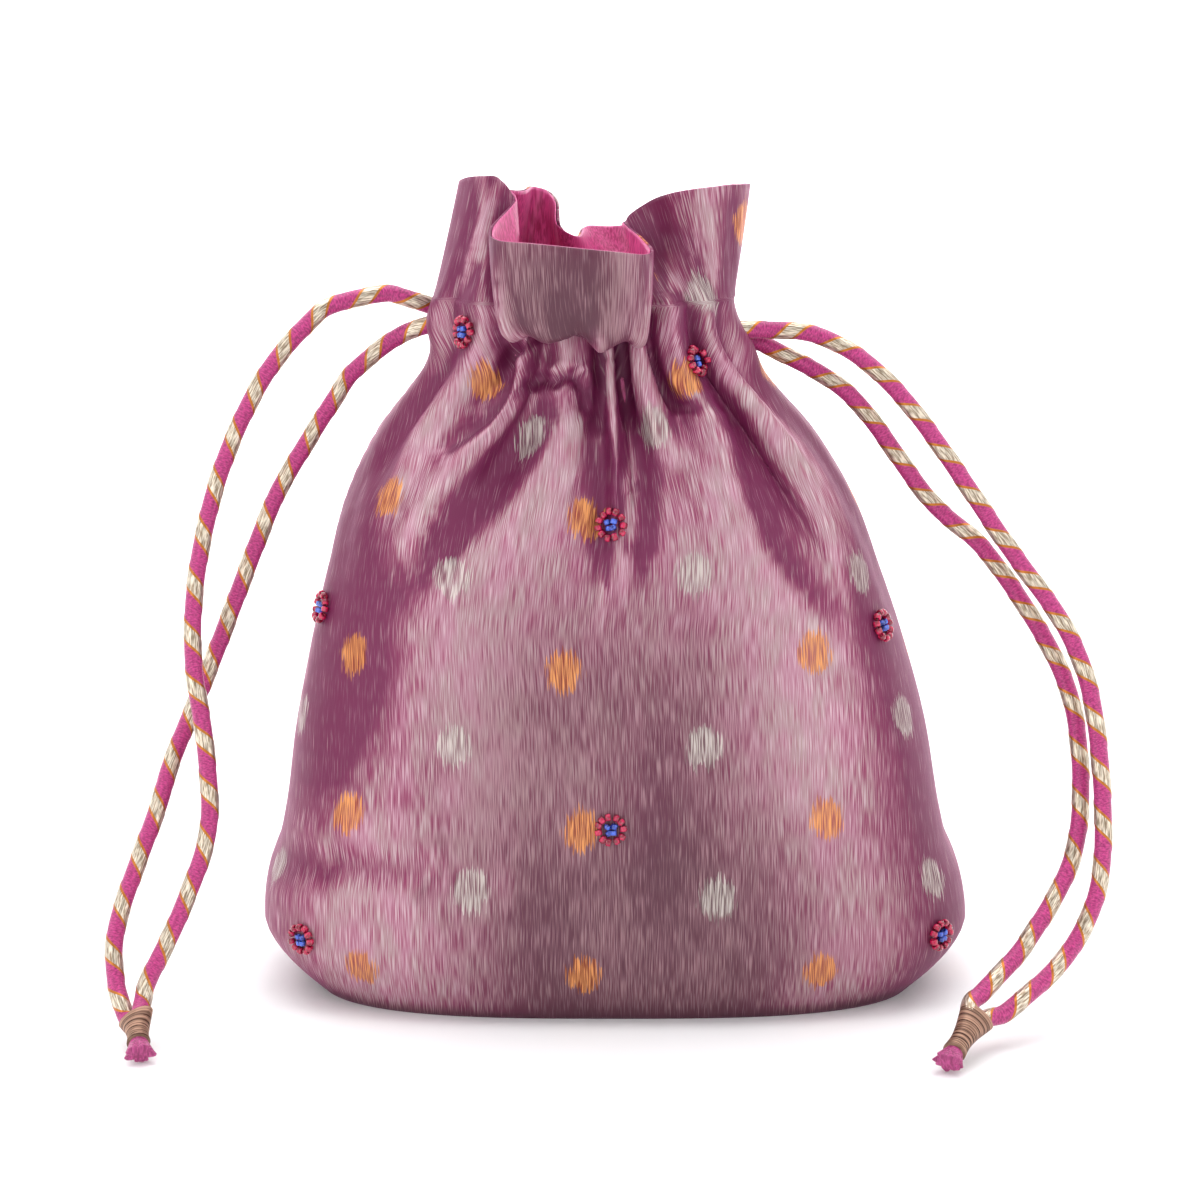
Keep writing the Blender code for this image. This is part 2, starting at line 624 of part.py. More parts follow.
def build():
    clear_scene()
    brocade = material("shot_brocade", (0.42, 0.22, 0.27), 0.38, 0.45)
    satin = material("pink_satin", (0.42, 0.05, 0.15), 0.4)
    bias = material("magenta_satin_cord", (0.56, 0.06, 0.26), 0.45)
    gota = material("bronze_metal_thread", (0.50, 0.34, 0.27), 0.4, 0.7)
    crimson = material("crimson_glass", (0.45, 0.02, 0.10), 0.2)
    blue = material("blue_glass", (0.05, 0.09, 0.45), 0.2)

    outer = outer_bag(brocade)
    w = columns()
    cloth_shell("lining", lining_rings(w, 0.0), lining_rings(w, LINING), satin)
    drawstrings(bias)
    strand_ends(gota, bias)
    bead_flowers(outer, crimson, blue)


build()
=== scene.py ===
import math

import bmesh
import bpy
import numpy as np
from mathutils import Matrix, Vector
from mathutils.bvhtree import BVHTree


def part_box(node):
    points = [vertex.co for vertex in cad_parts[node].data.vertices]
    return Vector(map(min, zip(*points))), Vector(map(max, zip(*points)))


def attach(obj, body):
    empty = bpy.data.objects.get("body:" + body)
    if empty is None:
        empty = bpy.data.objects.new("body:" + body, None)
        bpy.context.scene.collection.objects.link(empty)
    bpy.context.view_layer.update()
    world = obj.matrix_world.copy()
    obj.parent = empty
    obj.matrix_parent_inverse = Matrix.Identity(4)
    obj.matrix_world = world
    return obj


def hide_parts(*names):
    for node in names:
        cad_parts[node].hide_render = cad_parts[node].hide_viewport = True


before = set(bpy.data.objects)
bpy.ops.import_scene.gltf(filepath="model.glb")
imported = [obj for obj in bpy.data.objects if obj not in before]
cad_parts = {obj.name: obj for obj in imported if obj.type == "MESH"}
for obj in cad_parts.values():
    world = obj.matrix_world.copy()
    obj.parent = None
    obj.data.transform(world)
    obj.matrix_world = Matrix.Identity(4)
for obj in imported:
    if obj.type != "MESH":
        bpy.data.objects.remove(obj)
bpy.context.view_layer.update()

MM = 0.001

# The stuffed bag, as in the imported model
BELLY_WIDTH = 204 * MM
BELLY_DEPTH = 106 * MM
BELLY_SQUARENESS = 3.0
NECK_WIDTH = 82 * MM
NECK_DEPTH = 60 * MM
NECK_SQUARENESS = 2.4
NECK_HEIGHT = 193.2 * MM
NECK_SIDE_SHIFT = -8 * MM
FRILL_HEIGHT = 34 * MM
FRILL_SIDE_SHIFT = -4 * MM
FRILL_DROOP = 29 * MM
BASE_EDGE_RISE = 20 * MM
BASE_SIDE_INSET = 15 * MM
BASE_FRONT_INSET = 7 * MM
CASING_PITCH = 6.4 * MM
CASING_TOP = NECK_HEIGHT + CASING_PITCH
MOUTH_WIDTH = 15 * MM
LEFT_TAB = 4.5 * MM
RIGHT_TAB = 3.5 * MM
TAB_SPREAD = 8 * MM
CLOTH = 0.55 * MM
LINING = 0.35 * MM
LINING_GAP = 0.35 * MM
CORD_DIAMETER = 5.2 * MM
BEAD_DIAMETER = 2.2 * MM
FLOWER_DIAMETER = 9.6 * MM

# The place round the bag is w, one to a pleat, from the left over the front
PLEATS = 18
VALLEY_WIDTH = 0.34
VALLEY_SWELL = 0.7
# The side shift grows with this power of the height, and the base edge's
# inset fades with this power of the way up it
SHIFT_POWER = 2.2
INSET_POWER = 1.5
OUTLINE_STEPS = 2880
# The step at the casing's top is evened out over so many rings, so many times
EASE_ROWS = 4.0
EASE_ROUNDS = 14
# A distance past every fold and dot, and the painted sheen and painted shade on the base
FAR = 9.0
BASE_SHEEN_AND_SHADE = 0.4

# How far the bag has closed from belly to neck, by height as a share of the
# neck's height
SIDE_PROFILE = [
    (0.06, 0.0), (0.13, 0.0), (0.18, 0.03), (0.22, 0.08), (0.27, 0.115),
    (0.40, 0.18), (0.52, 0.27), (0.63, 0.37), (0.73, 0.475), (0.79, 0.57),
    (0.845, 0.68), (0.89, 0.80), (0.93, 0.905), (0.965, 0.97), (1.0, 1.0),
]

# Valleys: the place at the neck and at the foot as shares of the way round,
# the foot's height as a share of the neck's, and the depth at the neck
VALLEYS = {
    1: (0.055, 0.072, 0.70, 3.0 * MM),
    2: (0.157, 0.124, 0.80, 4.5 * MM),
    3: (0.198, 0.142, 0.60, 4.8 * MM),
    4: (0.262, 0.239, 0.56, 4.5 * MM),
    5: (0.289, 0.262, 0.58, 5.0 * MM),
    6: (0.326, 0.328, 0.78, 4.5 * MM),
    7: (0.388, 0.408, 0.56, 5.5 * MM),
    8: (0.436, 0.428, 0.76, 3.0 * MM),
    10: (0.562, 0.576, 0.72, 3.0 * MM),
    11: (0.612, 0.622, 0.54, 5.0 * MM),
    12: (0.668, 0.664, 0.78, 4.5 * MM),
    13: (0.712, 0.716, 0.58, 5.0 * MM),
    14: (0.764, 0.762, 0.74, 4.5 * MM),
    15: (0.818, 0.812, 0.56, 5.5 * MM),
    16: (0.874, 0.862, 0.76, 4.5 * MM),
    17: (0.938, 0.922, 0.66, 3.5 * MM),
}

# The frill's rim, one point each half pleat: sideways and forwards as shares
# of the neck's half width and half depth, up as a share of the frill's height
RIM = [
    (-0.98, 0.11, 0.93), (-0.93, -0.13, 0.98), (-0.80, -0.31, 1.00), (-0.70, -0.26, 0.98),
    (-0.60, -0.36, 0.80), (-0.74, -0.90, 0.62), (-0.71, -1.33, 0.55), (-0.46, -1.48, 0.53),
    (-0.17, -1.52, 0.50), (0.09, -1.50, 0.47), (0.29, -1.36, 0.44), (0.34, -0.90, 0.46),
    (0.22, -0.40, 0.58), (0.17, -0.24, 0.66), (0.33, -0.32, 0.80), (0.46, -0.52, 0.87),
    (0.66, -0.57, 0.91), (0.88, -0.40, 0.93), (1.00, -0.11, 0.92), (1.00, 0.20, 0.91),
    (0.83, 0.31, 0.88), (0.76, 0.57, 0.85), (0.56, 0.48, 0.78), (0.49, 0.84, 0.66),
    (0.29, 1.12, 0.52), (0.07, 1.21, 0.48), (-0.12, 1.06, 0.49), (-0.18, 0.62, 0.44),
    (-0.30, 0.42, 0.56), (-0.31, 0.64, 0.73), (-0.38, 0.88, 0.81), (-0.50, 0.84, 0.85),
    (-0.56, 0.51, 0.84), (-0.66, 0.37, 0.86), (-0.76, 0.57, 0.88), (-0.90, 0.40, 0.90),
]
# Where a column of the frill bends, sideways, forwards and up, as shares of
# the way from the casing to the rim
UPRIGHT_KNEE = np.array([0.45, 0.45, 0.35])
LEANING_KNEE = np.array([0.80, 0.80, 0.15])
HANGING_KNEE = np.array([0.95, 0.90, 0.15])
LOBE_LEFT = 2.3
LOBE_RIGHT = 5.8
LOBE_EDGE = 0.45
# Tucks in the lower edge of the front lobe: place, half width, how far it lifts
POUCH_TUCKS = [(3.2, 0.16, 0.30), (3.75, 0.17, 0.36), (4.75, 0.18, 0.22)]
# A column leans where its rim overhangs by these shares of the frill's height,
# evened out over this many pleats; leaning opens its valley by this share
LEAN_START = 0.10
LEAN_FULL = 0.33
LEAN_BLUR = 0.8
VALLEY_OPENING = 0.75
# The lining's heights in the body, then its rings in the neck as the height
# and the inset from the neck's outline, both in millimetres
LINING_HEIGHTS = np.concatenate([np.linspace(3.5 * MM, 150 * MM, 22), np.linspace(156 * MM, 190 * MM, 12)])
LINING_NECK = [(190.0, 10.0), (196.0, 15.0), (200.5, 15.0)]

# Free strands in millimetres, from the mouth to the binding
LEFT_UPPER = [
    (-47, 3.5, 196), (-51.5, 2, 196), (-60, -0.5, 199), (-65.5, -0.5, 200),
    (-78.5, -2.5, 197.5), (-86, -4.5, 193), (-99.5, -9, 177), (-111, -15.5, 152.5),
    (-117.5, -23.5, 125.5), (-118.5, -31, 101.5), (-115, -36.5, 77), (-114, -43, 54.5),
    (-121, -51.5, 33.5), (-129, -60.5, 17), (-130.5, -63.5, 11.5),
]
LEFT_LOWER = [
    (-47, -3.5, 193.5), (-52, -1.5, 191.5), (-61.5, 0.5, 188), (-74, 0, 178.5),
    (-80, -1.5, 170.5), (-93, -5.5, 150), (-99.5, -8.5, 137), (-115, -19, 97),
    (-125.5, -29.5, 71), (-129, -35.5, 59), (-137.5, -47.5, 35), (-139.5, -53.5, 24.5),
    (-138.5, -59, 16), (-136.5, -63, 11), (-134.5, -66, 7.5),
]
RIGHT_OUTER = [
    (32, -3.5, 189.5), (36.5, -2.5, 190), (59.5, -2, 187.5), (81.5, -7, 171),
    (110, -19, 131.5), (127.5, -28, 106.5), (134.5, -35.5, 82), (135.5, -46, 44.5),
    (126, -56, 24), (108.5, -67, 11), (101.5, -70, 9),
]
RIGHT_INNER = [
    (32, 3.5, 188.5), (37, 2.5, 187), (46, 1.5, 183.5), (67.5, -1.5, 170.5),
    (89.5, -7, 142), (106.5, -12, 126.5), (125.5, -21, 97), (131, -29.5, 73.5),
    (128.5, -40.5, 47), (114.5, -54.5, 26.5), (101, -65.5, 15.5), (97, -69, 13),
]
LEFT_BINDING = [(-131.8, -67.7, 8.5), (-129.6, -77.4, 4.8)]
RIGHT_BINDING = [(98.5, -71.1, 10.3), (90.6, -85.0, 5.0)]
BINDING_DIAMETER = 5.8 * MM
BINDING_COLLAR_WIDTH = 11.6 * MM
BINDING_SIDES = 40
THREAD_PITCH = 0.62 * MM
THREAD_RIDGE = 0.16 * MM
THREAD_SINK = 0.1 * MM

# The ribbon's turns are this far apart, and it covers this share of a turn
GOTA_PITCH = 14.5 * MM
GOTA_SHARE = 0.45
GOTA_EDGE = 0.03
GOTA_THICKNESS = 0.18 * MM
SELVEDGE = 0.065
CORD_SINK = 0.16 * MM
CORD_SIDES = 28
HIDDEN_INSET = 7.4 * MM

BEAD_SIDES = 12
BEAD_AROUND = 10
BEAD_HALF_LENGTH = 0.78 * MM
BEAD_HOLE = 0.42 * MM
RING_BEADS = 11
KNOT_PLACES = [(-0.95, 0.75), (0.95, 0.85), (-0.5, -1.0), (0.75, -0.85)]


# Camera and light
def add_camera():
    data = bpy.data.cameras.new("camera")
    data.lens = 85
    data.sensor_width = 36
    camera = bpy.data.objects.new("camera", data)
    camera.location = (-0.0045, -0.804, 0.282)
    camera.rotation_euler = (math.radians(78), 0, 0)
    bpy.context.collection.objects.link(camera)
    bpy.context.scene.camera = camera


def add_area(name, place, target, size, power):
    data = bpy.data.lights.new(name, "AREA")
    data.shape = "RECTANGLE"
    data.size, data.size_y = size
    data.energy = power
    light = bpy.data.objects.new(name, data)
    light.location = place
    aim = Vector(target) - Vector(place)
    light.rotation_euler = aim.to_track_quat("-Z", "Y").to_euler()
    bpy.context.collection.objects.link(light)


def add_sweep(look):
    """A round floor that curves up into a wall on all sides: a profile of
    floor, quarter circle and wall, spun round Z."""
    floor_radius, curve_radius, wall_top = 1.6, 0.8, 2.2
    curve_steps, sides = 10, 72
    turns = np.linspace(0, math.pi / 2, curve_steps)
    out = floor_radius + curve_radius * np.sin(turns)
    rise = curve_radius * (1 - np.cos(turns))
    out, rise = np.append(out, out[-1]), np.append(rise, wall_top)
    spin = np.linspace(0, math.tau, sides, endpoint=False)
    x, y = out[:, None] * np.cos(spin), out[:, None] * np.sin(spin)
    points = np.stack([x, y, np.broadcast_to(rise[:, None], x.shape)], -1).reshape(-1, 3)
    faces = tube_faces(len(out), sides)[:, ::-1].tolist() + [list(range(sides))]
    add_mesh("sweep", points, faces, look)


def add_studio():
    """Two softboxes either side of the camera, a top light for the white
    sweep, and little light from the camera's own side."""
    add_area("softbox_left", (-0.70, -0.75, 0.50), (0, 0, 0.12), (0.45, 0.9), 2.2)
    add_area("softbox_right", (0.80, -0.70, 0.50), (0, 0, 0.12), (0.45, 0.9), 1.4)
    add_area("top", (0.0, 0.35, 1.5), (0, 0.35, 0), (2.4, 1.6), 34.0)
    add_area("wall", (0.0, 0.9, 1.2), (0, 2.4, 0.5), (2.4, 0.6), 45.0)
    world = bpy.data.worlds.new("studio")
    world.use_nodes = True
    background = world.node_tree.nodes["Background"]
    fill(world.node_tree, background, {"Color": (0.95, 0.95, 1.0, 1), "Strength": 0.40})
    bpy.context.scene.world = world
    paper, tree, shader = new_material("white_paper_sweep")
    fill(tree, shader, {"Base Color": (0.94, 0.94, 0.94, 1), "Roughness": 0.9})
    add_sweep(paper)


# Material helpers
def linear(code):
    """An sRGB hex colour as linear RGBA."""
    parts = np.array([int(code[i:i + 2], 16) / 255 for i in (1, 3, 5)])
    low = parts / 12.92
    high = ((parts + 0.055) / 1.055) ** 2.4
    return (*np.where(parts <= 0.04045, low, high), 1.0)


def new_material(name):
    made = bpy.data.materials.new(name)
    made.use_nodes = True
    return made, made.node_tree, made.node_tree.nodes["Principled BSDF"]


def fill(tree, made, sockets):
    """Gives a node's inputs, by name or number, a value or another node's
    output."""
    for key, value in sockets.items():
        if isinstance(value, bpy.types.NodeSocket):
            tree.links.new(value, made.inputs[key])
        else:
            made.inputs[key].default_value = value


def node(tree, kind, sockets, out=0, **settings):
    """Adds a node with its inputs and settings, and returns one output."""
    made = tree.nodes.new("ShaderNode" + kind)
    for key, value in settings.items():
        setattr(made, key, value)
    fill(tree, made, sockets)
    return made.outputs[out]


# A colour Mix uses inputs 0, 6 and 7 and output 2
COLOUR = {"out": 2, "data_type": "RGBA"}
SMOOTH = {"interpolation_type": "SMOOTHSTEP"}


def two_tone(tree, value, low, high, dark, light):
    """The dark colour where value is under low, the light one where it is
    over high, and a smooth blend between."""
    share = node(tree, "MapRange", {"Value": value, "From Min": low, "From Max": high}, **SMOOTH)
    return node(tree, "Mix", {0: share, 6: linear(dark), 7: linear(light)}, **COLOUR)


def cell_noise(tree, place, cells, detail):
    """Noise with this many cells to a unit of place, each way."""
    mapped = node(tree, "Mapping", {"Vector": place, "Scale": cells})
    return node(tree, "TexNoise", {"Vector": mapped, "Scale": 1.0, "Detail": detail})


def per_metre(*sizes):
    """Cells to a metre each way, for cells of these sizes in millimetres."""
    return [1 / (size * MM) for size in sizes] + [1] * (3 - len(sizes))


# Curves and bells
def smooth_step(value):
    share = np.clip(value, 0.0, 1.0)
    return share * share * (3 - 2 * share)


def bell(distance, power=2):
    """exp(-|d|^power): 1 in the middle, fading to 0 on both sides."""
    return np.exp(-np.abs(distance) ** power)


def cubic(t, start, end, slope_in, slope_out):
    """The cubic from start to end that leaves and arrives at these slopes."""
    shape = (1 + 2 * t) * (1 - t) ** 2 * start + t * (1 - t) ** 2 * slope_in
    return shape + t * t * (3 - 2 * t) * end + t * t * (t - 1) * slope_out


def smooth_curve(xs, ys, x):
    """Cubic curve through the points (xs, ys), read at x."""
    xs, ys = np.array(xs, float), np.array(ys, float)
    slope = np.gradient(ys, xs)
    i = np.clip(np.searchsorted(xs, x) - 1, 0, len(xs) - 2)
    step = xs[i + 1] - xs[i]
    t = np.clip((x - xs[i]) / step, 0.0, 1.0)
    return cubic(t, ys[i], ys[i + 1], step * slope[i], step * slope[i + 1])


def smooth_loop(points, spots):
    """A closed smooth curve through the points, read at these spots."""
    points = np.array(points, float)
    count = len(points)
    i, t = np.mod(spots, count).astype(int), np.mod(spots, 1.0)[:, None]
    before, start, end, after = (points[(i + k) % count] for k in (-1, 0, 1, 2))
    return cubic(t, start, end, (end - before) / 2, (after - start) / 2)


# Bag surface
def outline(height, drawn_in=0.0):
    """Half width, half depth, squareness and side shift of the bag there;
    drawn_in is 1 where the base edge is cut in fully."""
    share = height / NECK_HEIGHT
    heights, shares = zip(*SIDE_PROFILE)
    closing = smooth_curve(heights, shares, share)
    half_width = (BELLY_WIDTH + (NECK_WIDTH - BELLY_WIDTH) * closing) / 2
    half_depth = (BELLY_DEPTH + (NECK_DEPTH - BELLY_DEPTH) * closing) / 2
    squareness = BELLY_SQUARENESS + (NECK_SQUARENESS - BELLY_SQUARENESS) * closing
    shift = NECK_SIDE_SHIFT * min(share, 1.0) ** SHIFT_POWER
    half_width -= BASE_SIDE_INSET * drawn_in
    half_depth -= BASE_FRONT_INSET * drawn_in
    return half_width, half_depth, squareness, shift


def outline_walk(size):
    """Fine points x and y round |x/a|^n + |y/b|^n = 1, from -X over -Y, and
    the length walked to each."""
    half_width, half_depth, squareness, shift = size
    turn = np.linspace(0.0, 2 * math.pi, OUTLINE_STEPS + 1)
    cosine, sine = -np.cos(turn), -np.sin(turn)
    x = half_width * np.sign(cosine) * np.abs(cosine) ** (2 / squareness) + shift
    y = half_depth * np.sign(sine) * np.abs(sine) ** (2 / squareness)
    return x, y, np.concatenate([[0.0], np.cumsum(np.hypot(np.diff(x), np.diff(y)))])


def outline_points(size, places):
    """Points on the outline at these shares of its length."""
    x, y, run = outline_walk(size)
    around = np.mod(places, 1.0) * run[-1]
    return np.stack([np.interp(around, run, x), np.interp(around, run, y)], 1)


def ring_normals(ring):
    """Outward normals in plan of a closed ring."""
    along = np.roll(ring, -1, 0) - np.roll(ring, 1, 0)
    along /= np.linalg.norm(along, axis=1, keepdims=True)
    return np.stack([along[:, 1], -along[:, 0]], 1)


def raised(ring, height):
    """A ring in plan, put at this height."""
    return np.column_stack([ring, np.full(len(ring), height)])


NECK_LENGTH = outline_walk(outline(NECK_HEIGHT))[2][-1]


def places_round(w, height):
    """Where each column lies round the bag: evenly near the base, on the
    valleys' own lines above their feet."""
    share = min(height / NECK_HEIGHT, 1.0)
    mouth = MOUTH_WIDTH / 2 / NECK_LENGTH
    knots = [(-0.5, -mouth), (0.5, mouth), (PLEATS / 2 - 0.5, 0.5 - mouth)]
    knots += [(PLEATS / 2 + 0.5, 0.5 + mouth), (PLEATS - 0.5, 1 - mouth), (PLEATS + 0.5, 1 + mouth)]
    knots = [(at, place, place, 0.0) for at, place in knots]
    knots += [(at, top, foot, foot_share) for at, (top, foot, foot_share, _) in VALLEYS.items()]
    lines = []
    for at, top, foot, foot_share in sorted(knots):
        upper = foot + (top - foot) * np.clip((share - foot_share) / (1 - foot_share), 0, 1)
        evenness = 1 - smooth_step(share / max(foot_share, 0.5))
        lines.append((at, upper + (at / PLEATS - upper) * evenness))
    return np.interp(w, *zip(*lines))


def neck_ring(w):
    return outline_points(outline(NECK_HEIGHT), places_round(w, NECK_HEIGHT))


def pleats_apart(w, at):
    return np.mod(w - at + PLEATS / 2, PLEATS) - PLEATS / 2


def valley_push(w, height):
    """How far the valleys push each column in: a bell in w, rising from the
    valley's foot with a swell on the way."""
    share = min(height / NECK_HEIGHT, 1.0)
    push = np.zeros(len(w))
    for at, (_, _, foot_share, depth) in VALLEYS.items():
        run = np.clip((share - foot_share) / (1 - foot_share), 0, 1)
        fade = smooth_step(run / 0.7) * (1 + VALLEY_SWELL * math.sin(math.pi * run))
        push += depth * fade * bell(pleats_apart(w, at) / VALLEY_WIDTH, 1.8)
    return push


def tab_push(w, height):
    """The casing's ends stand out a little round the cords: a bell in height
    that fades from 0.4 to 1.2 pleats from the cord."""
    push = np.zeros(len(w))
    left = (0, LEFT_TAB, NECK_HEIGHT)
    right = (PLEATS / 2, RIGHT_TAB, NECK_HEIGHT - CASING_PITCH)
    for at, reach, level in (left, right):
        beside = smooth_step((np.abs(pleats_apart(w, at)) - 0.4) / 0.8)
        push += reach * bell((height - level) / TAB_SPREAD) * (1 - beside)
    return push


def body_ring(w, height, drawn_in=0.0):
    """The outline at a height, pushed out by the tabs and in by the valleys."""
    ring = outline_points(outline(height, drawn_in), places_round(w, height))
    push = tab_push(w, height) - valley_push(w, height)
    return raised(ring + ring_normals(ring) * push[:, None], height)


def front_lobe(w):
    """1 across the front lobe, which hangs over the casing, and 0 elsewhere."""
    return smooth_step((w - LOBE_LEFT) / LOBE_EDGE) * smooth_step((LOBE_RIGHT - w) / LOBE_EDGE)


def frill_rings(w, rises):
    """The frill: each column is (1-r)^2 foot + 2r(1-r) knee + r^2 rim, from
    the casing over a knee to the rim; lobes that lean out leave it low."""
    rim = smooth_loop(RIM, w * len(RIM) / PLEATS)
    rim = rim * np.array([NECK_WIDTH / 2, NECK_DEPTH / 2, FRILL_HEIGHT])
    rim += np.array([FRILL_SIDE_SHIFT, 0, CASING_TOP])
    neck = neck_ring(w)
    outward = ring_normals(neck)
    overhang = ((rim[:, :2] - neck) * outward).sum(axis=1, keepdims=True)
    lean = smooth_step((overhang / FRILL_HEIGHT - LEAN_START) / (LEAN_FULL - LEAN_START))
    blur = int(len(w) / PLEATS * LEAN_BLUR)
    lean = sum(np.roll(lean, shift, 0) for shift in range(-blur, blur + 1)) / (2 * blur + 1)
    valleys = valley_push(w, CASING_TOP)[:, None] * (1 - VALLEY_OPENING * lean)
    push = tab_push(w, CASING_TOP)[:, None] - valleys
    foot = raised(neck + outward * push, CASING_TOP)
    knee = foot + (rim - foot) * (UPRIGHT_KNEE + (LEANING_KNEE - UPRIGHT_KNEE) * lean)
    knee[:, 2:] -= FRILL_DROOP * lean**2
    hang = front_lobe(w)
    for at, half_width, lift in POUCH_TUCKS:
        hang *= 1 - lift * bell((w - at) / half_width)
    hanging = foot + (rim - foot) * HANGING_KNEE - np.array([0, 0, FRILL_DROOP])
    knee += (hanging - knee) * hang[:, None]
    r = np.asarray(rises)[:, None, None]
    return (1 - r) ** 2 * foot + 2 * r * (1 - r) * knee + r**2 * rim


def grid_normals(points):
    """Outward unit normals of a grid of rings, closed along axis 1."""
    along = np.roll(points, -1, 1) - np.roll(points, 1, 1)
    upward = np.gradient(points, axis=0)
    facing = np.cross(along, upward)
    length = np.linalg.norm(facing, axis=2, keepdims=True)
    return facing / np.maximum(length, 1e-12)


def smooth_noise(shape, across, along, seed):
    """Seeded noise of unit spread, closed along axis 1, whose features are
    about this many cells across and along."""
    rng = np.random.default_rng(seed)
    spectrum = np.fft.fft2(rng.standard_normal(shape))
    rows = np.fft.fftfreq(shape[0])[:, None] * along
    cols = np.fft.fftfreq(shape[1])[None, :] * across
    field = np.real(np.fft.ifft2(spectrum * np.exp(-4 * (rows**2 + cols**2))))
    return field / field.std()


# The brocade's grid: 17 columns to a pleat, and rings in the base, up the
# drawn-in base edge, up the body and up the frill
COLUMNS = PLEATS * 17
COLUMN_W = np.arange(COLUMNS) * PLEATS / COLUMNS
BASE_ROWS = 5
EDGE_ROWS = 11
EDGE_SHARES = np.linspace(0, 1, EDGE_ROWS) ** 1.3
BODY_HEIGHTS = np.concatenate([
    np.linspace(BASE_EDGE_RISE, 120 * MM, 53)[1:],
    np.linspace(120 * MM, CASING_TOP, 55)[1:],
])
FRILL_RISES = np.linspace(0, 1, 34)[1:]
FRILL_ROW = EDGE_ROWS + len(BODY_HEIGHTS)


def bag_grid():
    """The brocade's smooth form as a grid of rings, base edge to rim."""
    rings = []
    for share in EDGE_SHARES:
        ring = body_ring(COLUMN_W, BASE_EDGE_RISE, (1 - share) ** INSET_POWER)
        ring[:, 2] = BASE_EDGE_RISE * share
        rings.append(ring)
    rings += [body_ring(COLUMN_W, height) for height in BODY_HEIGHTS]
    return np.concatenate([np.array(rings), frill_rings(COLUMN_W, FRILL_RISES)])
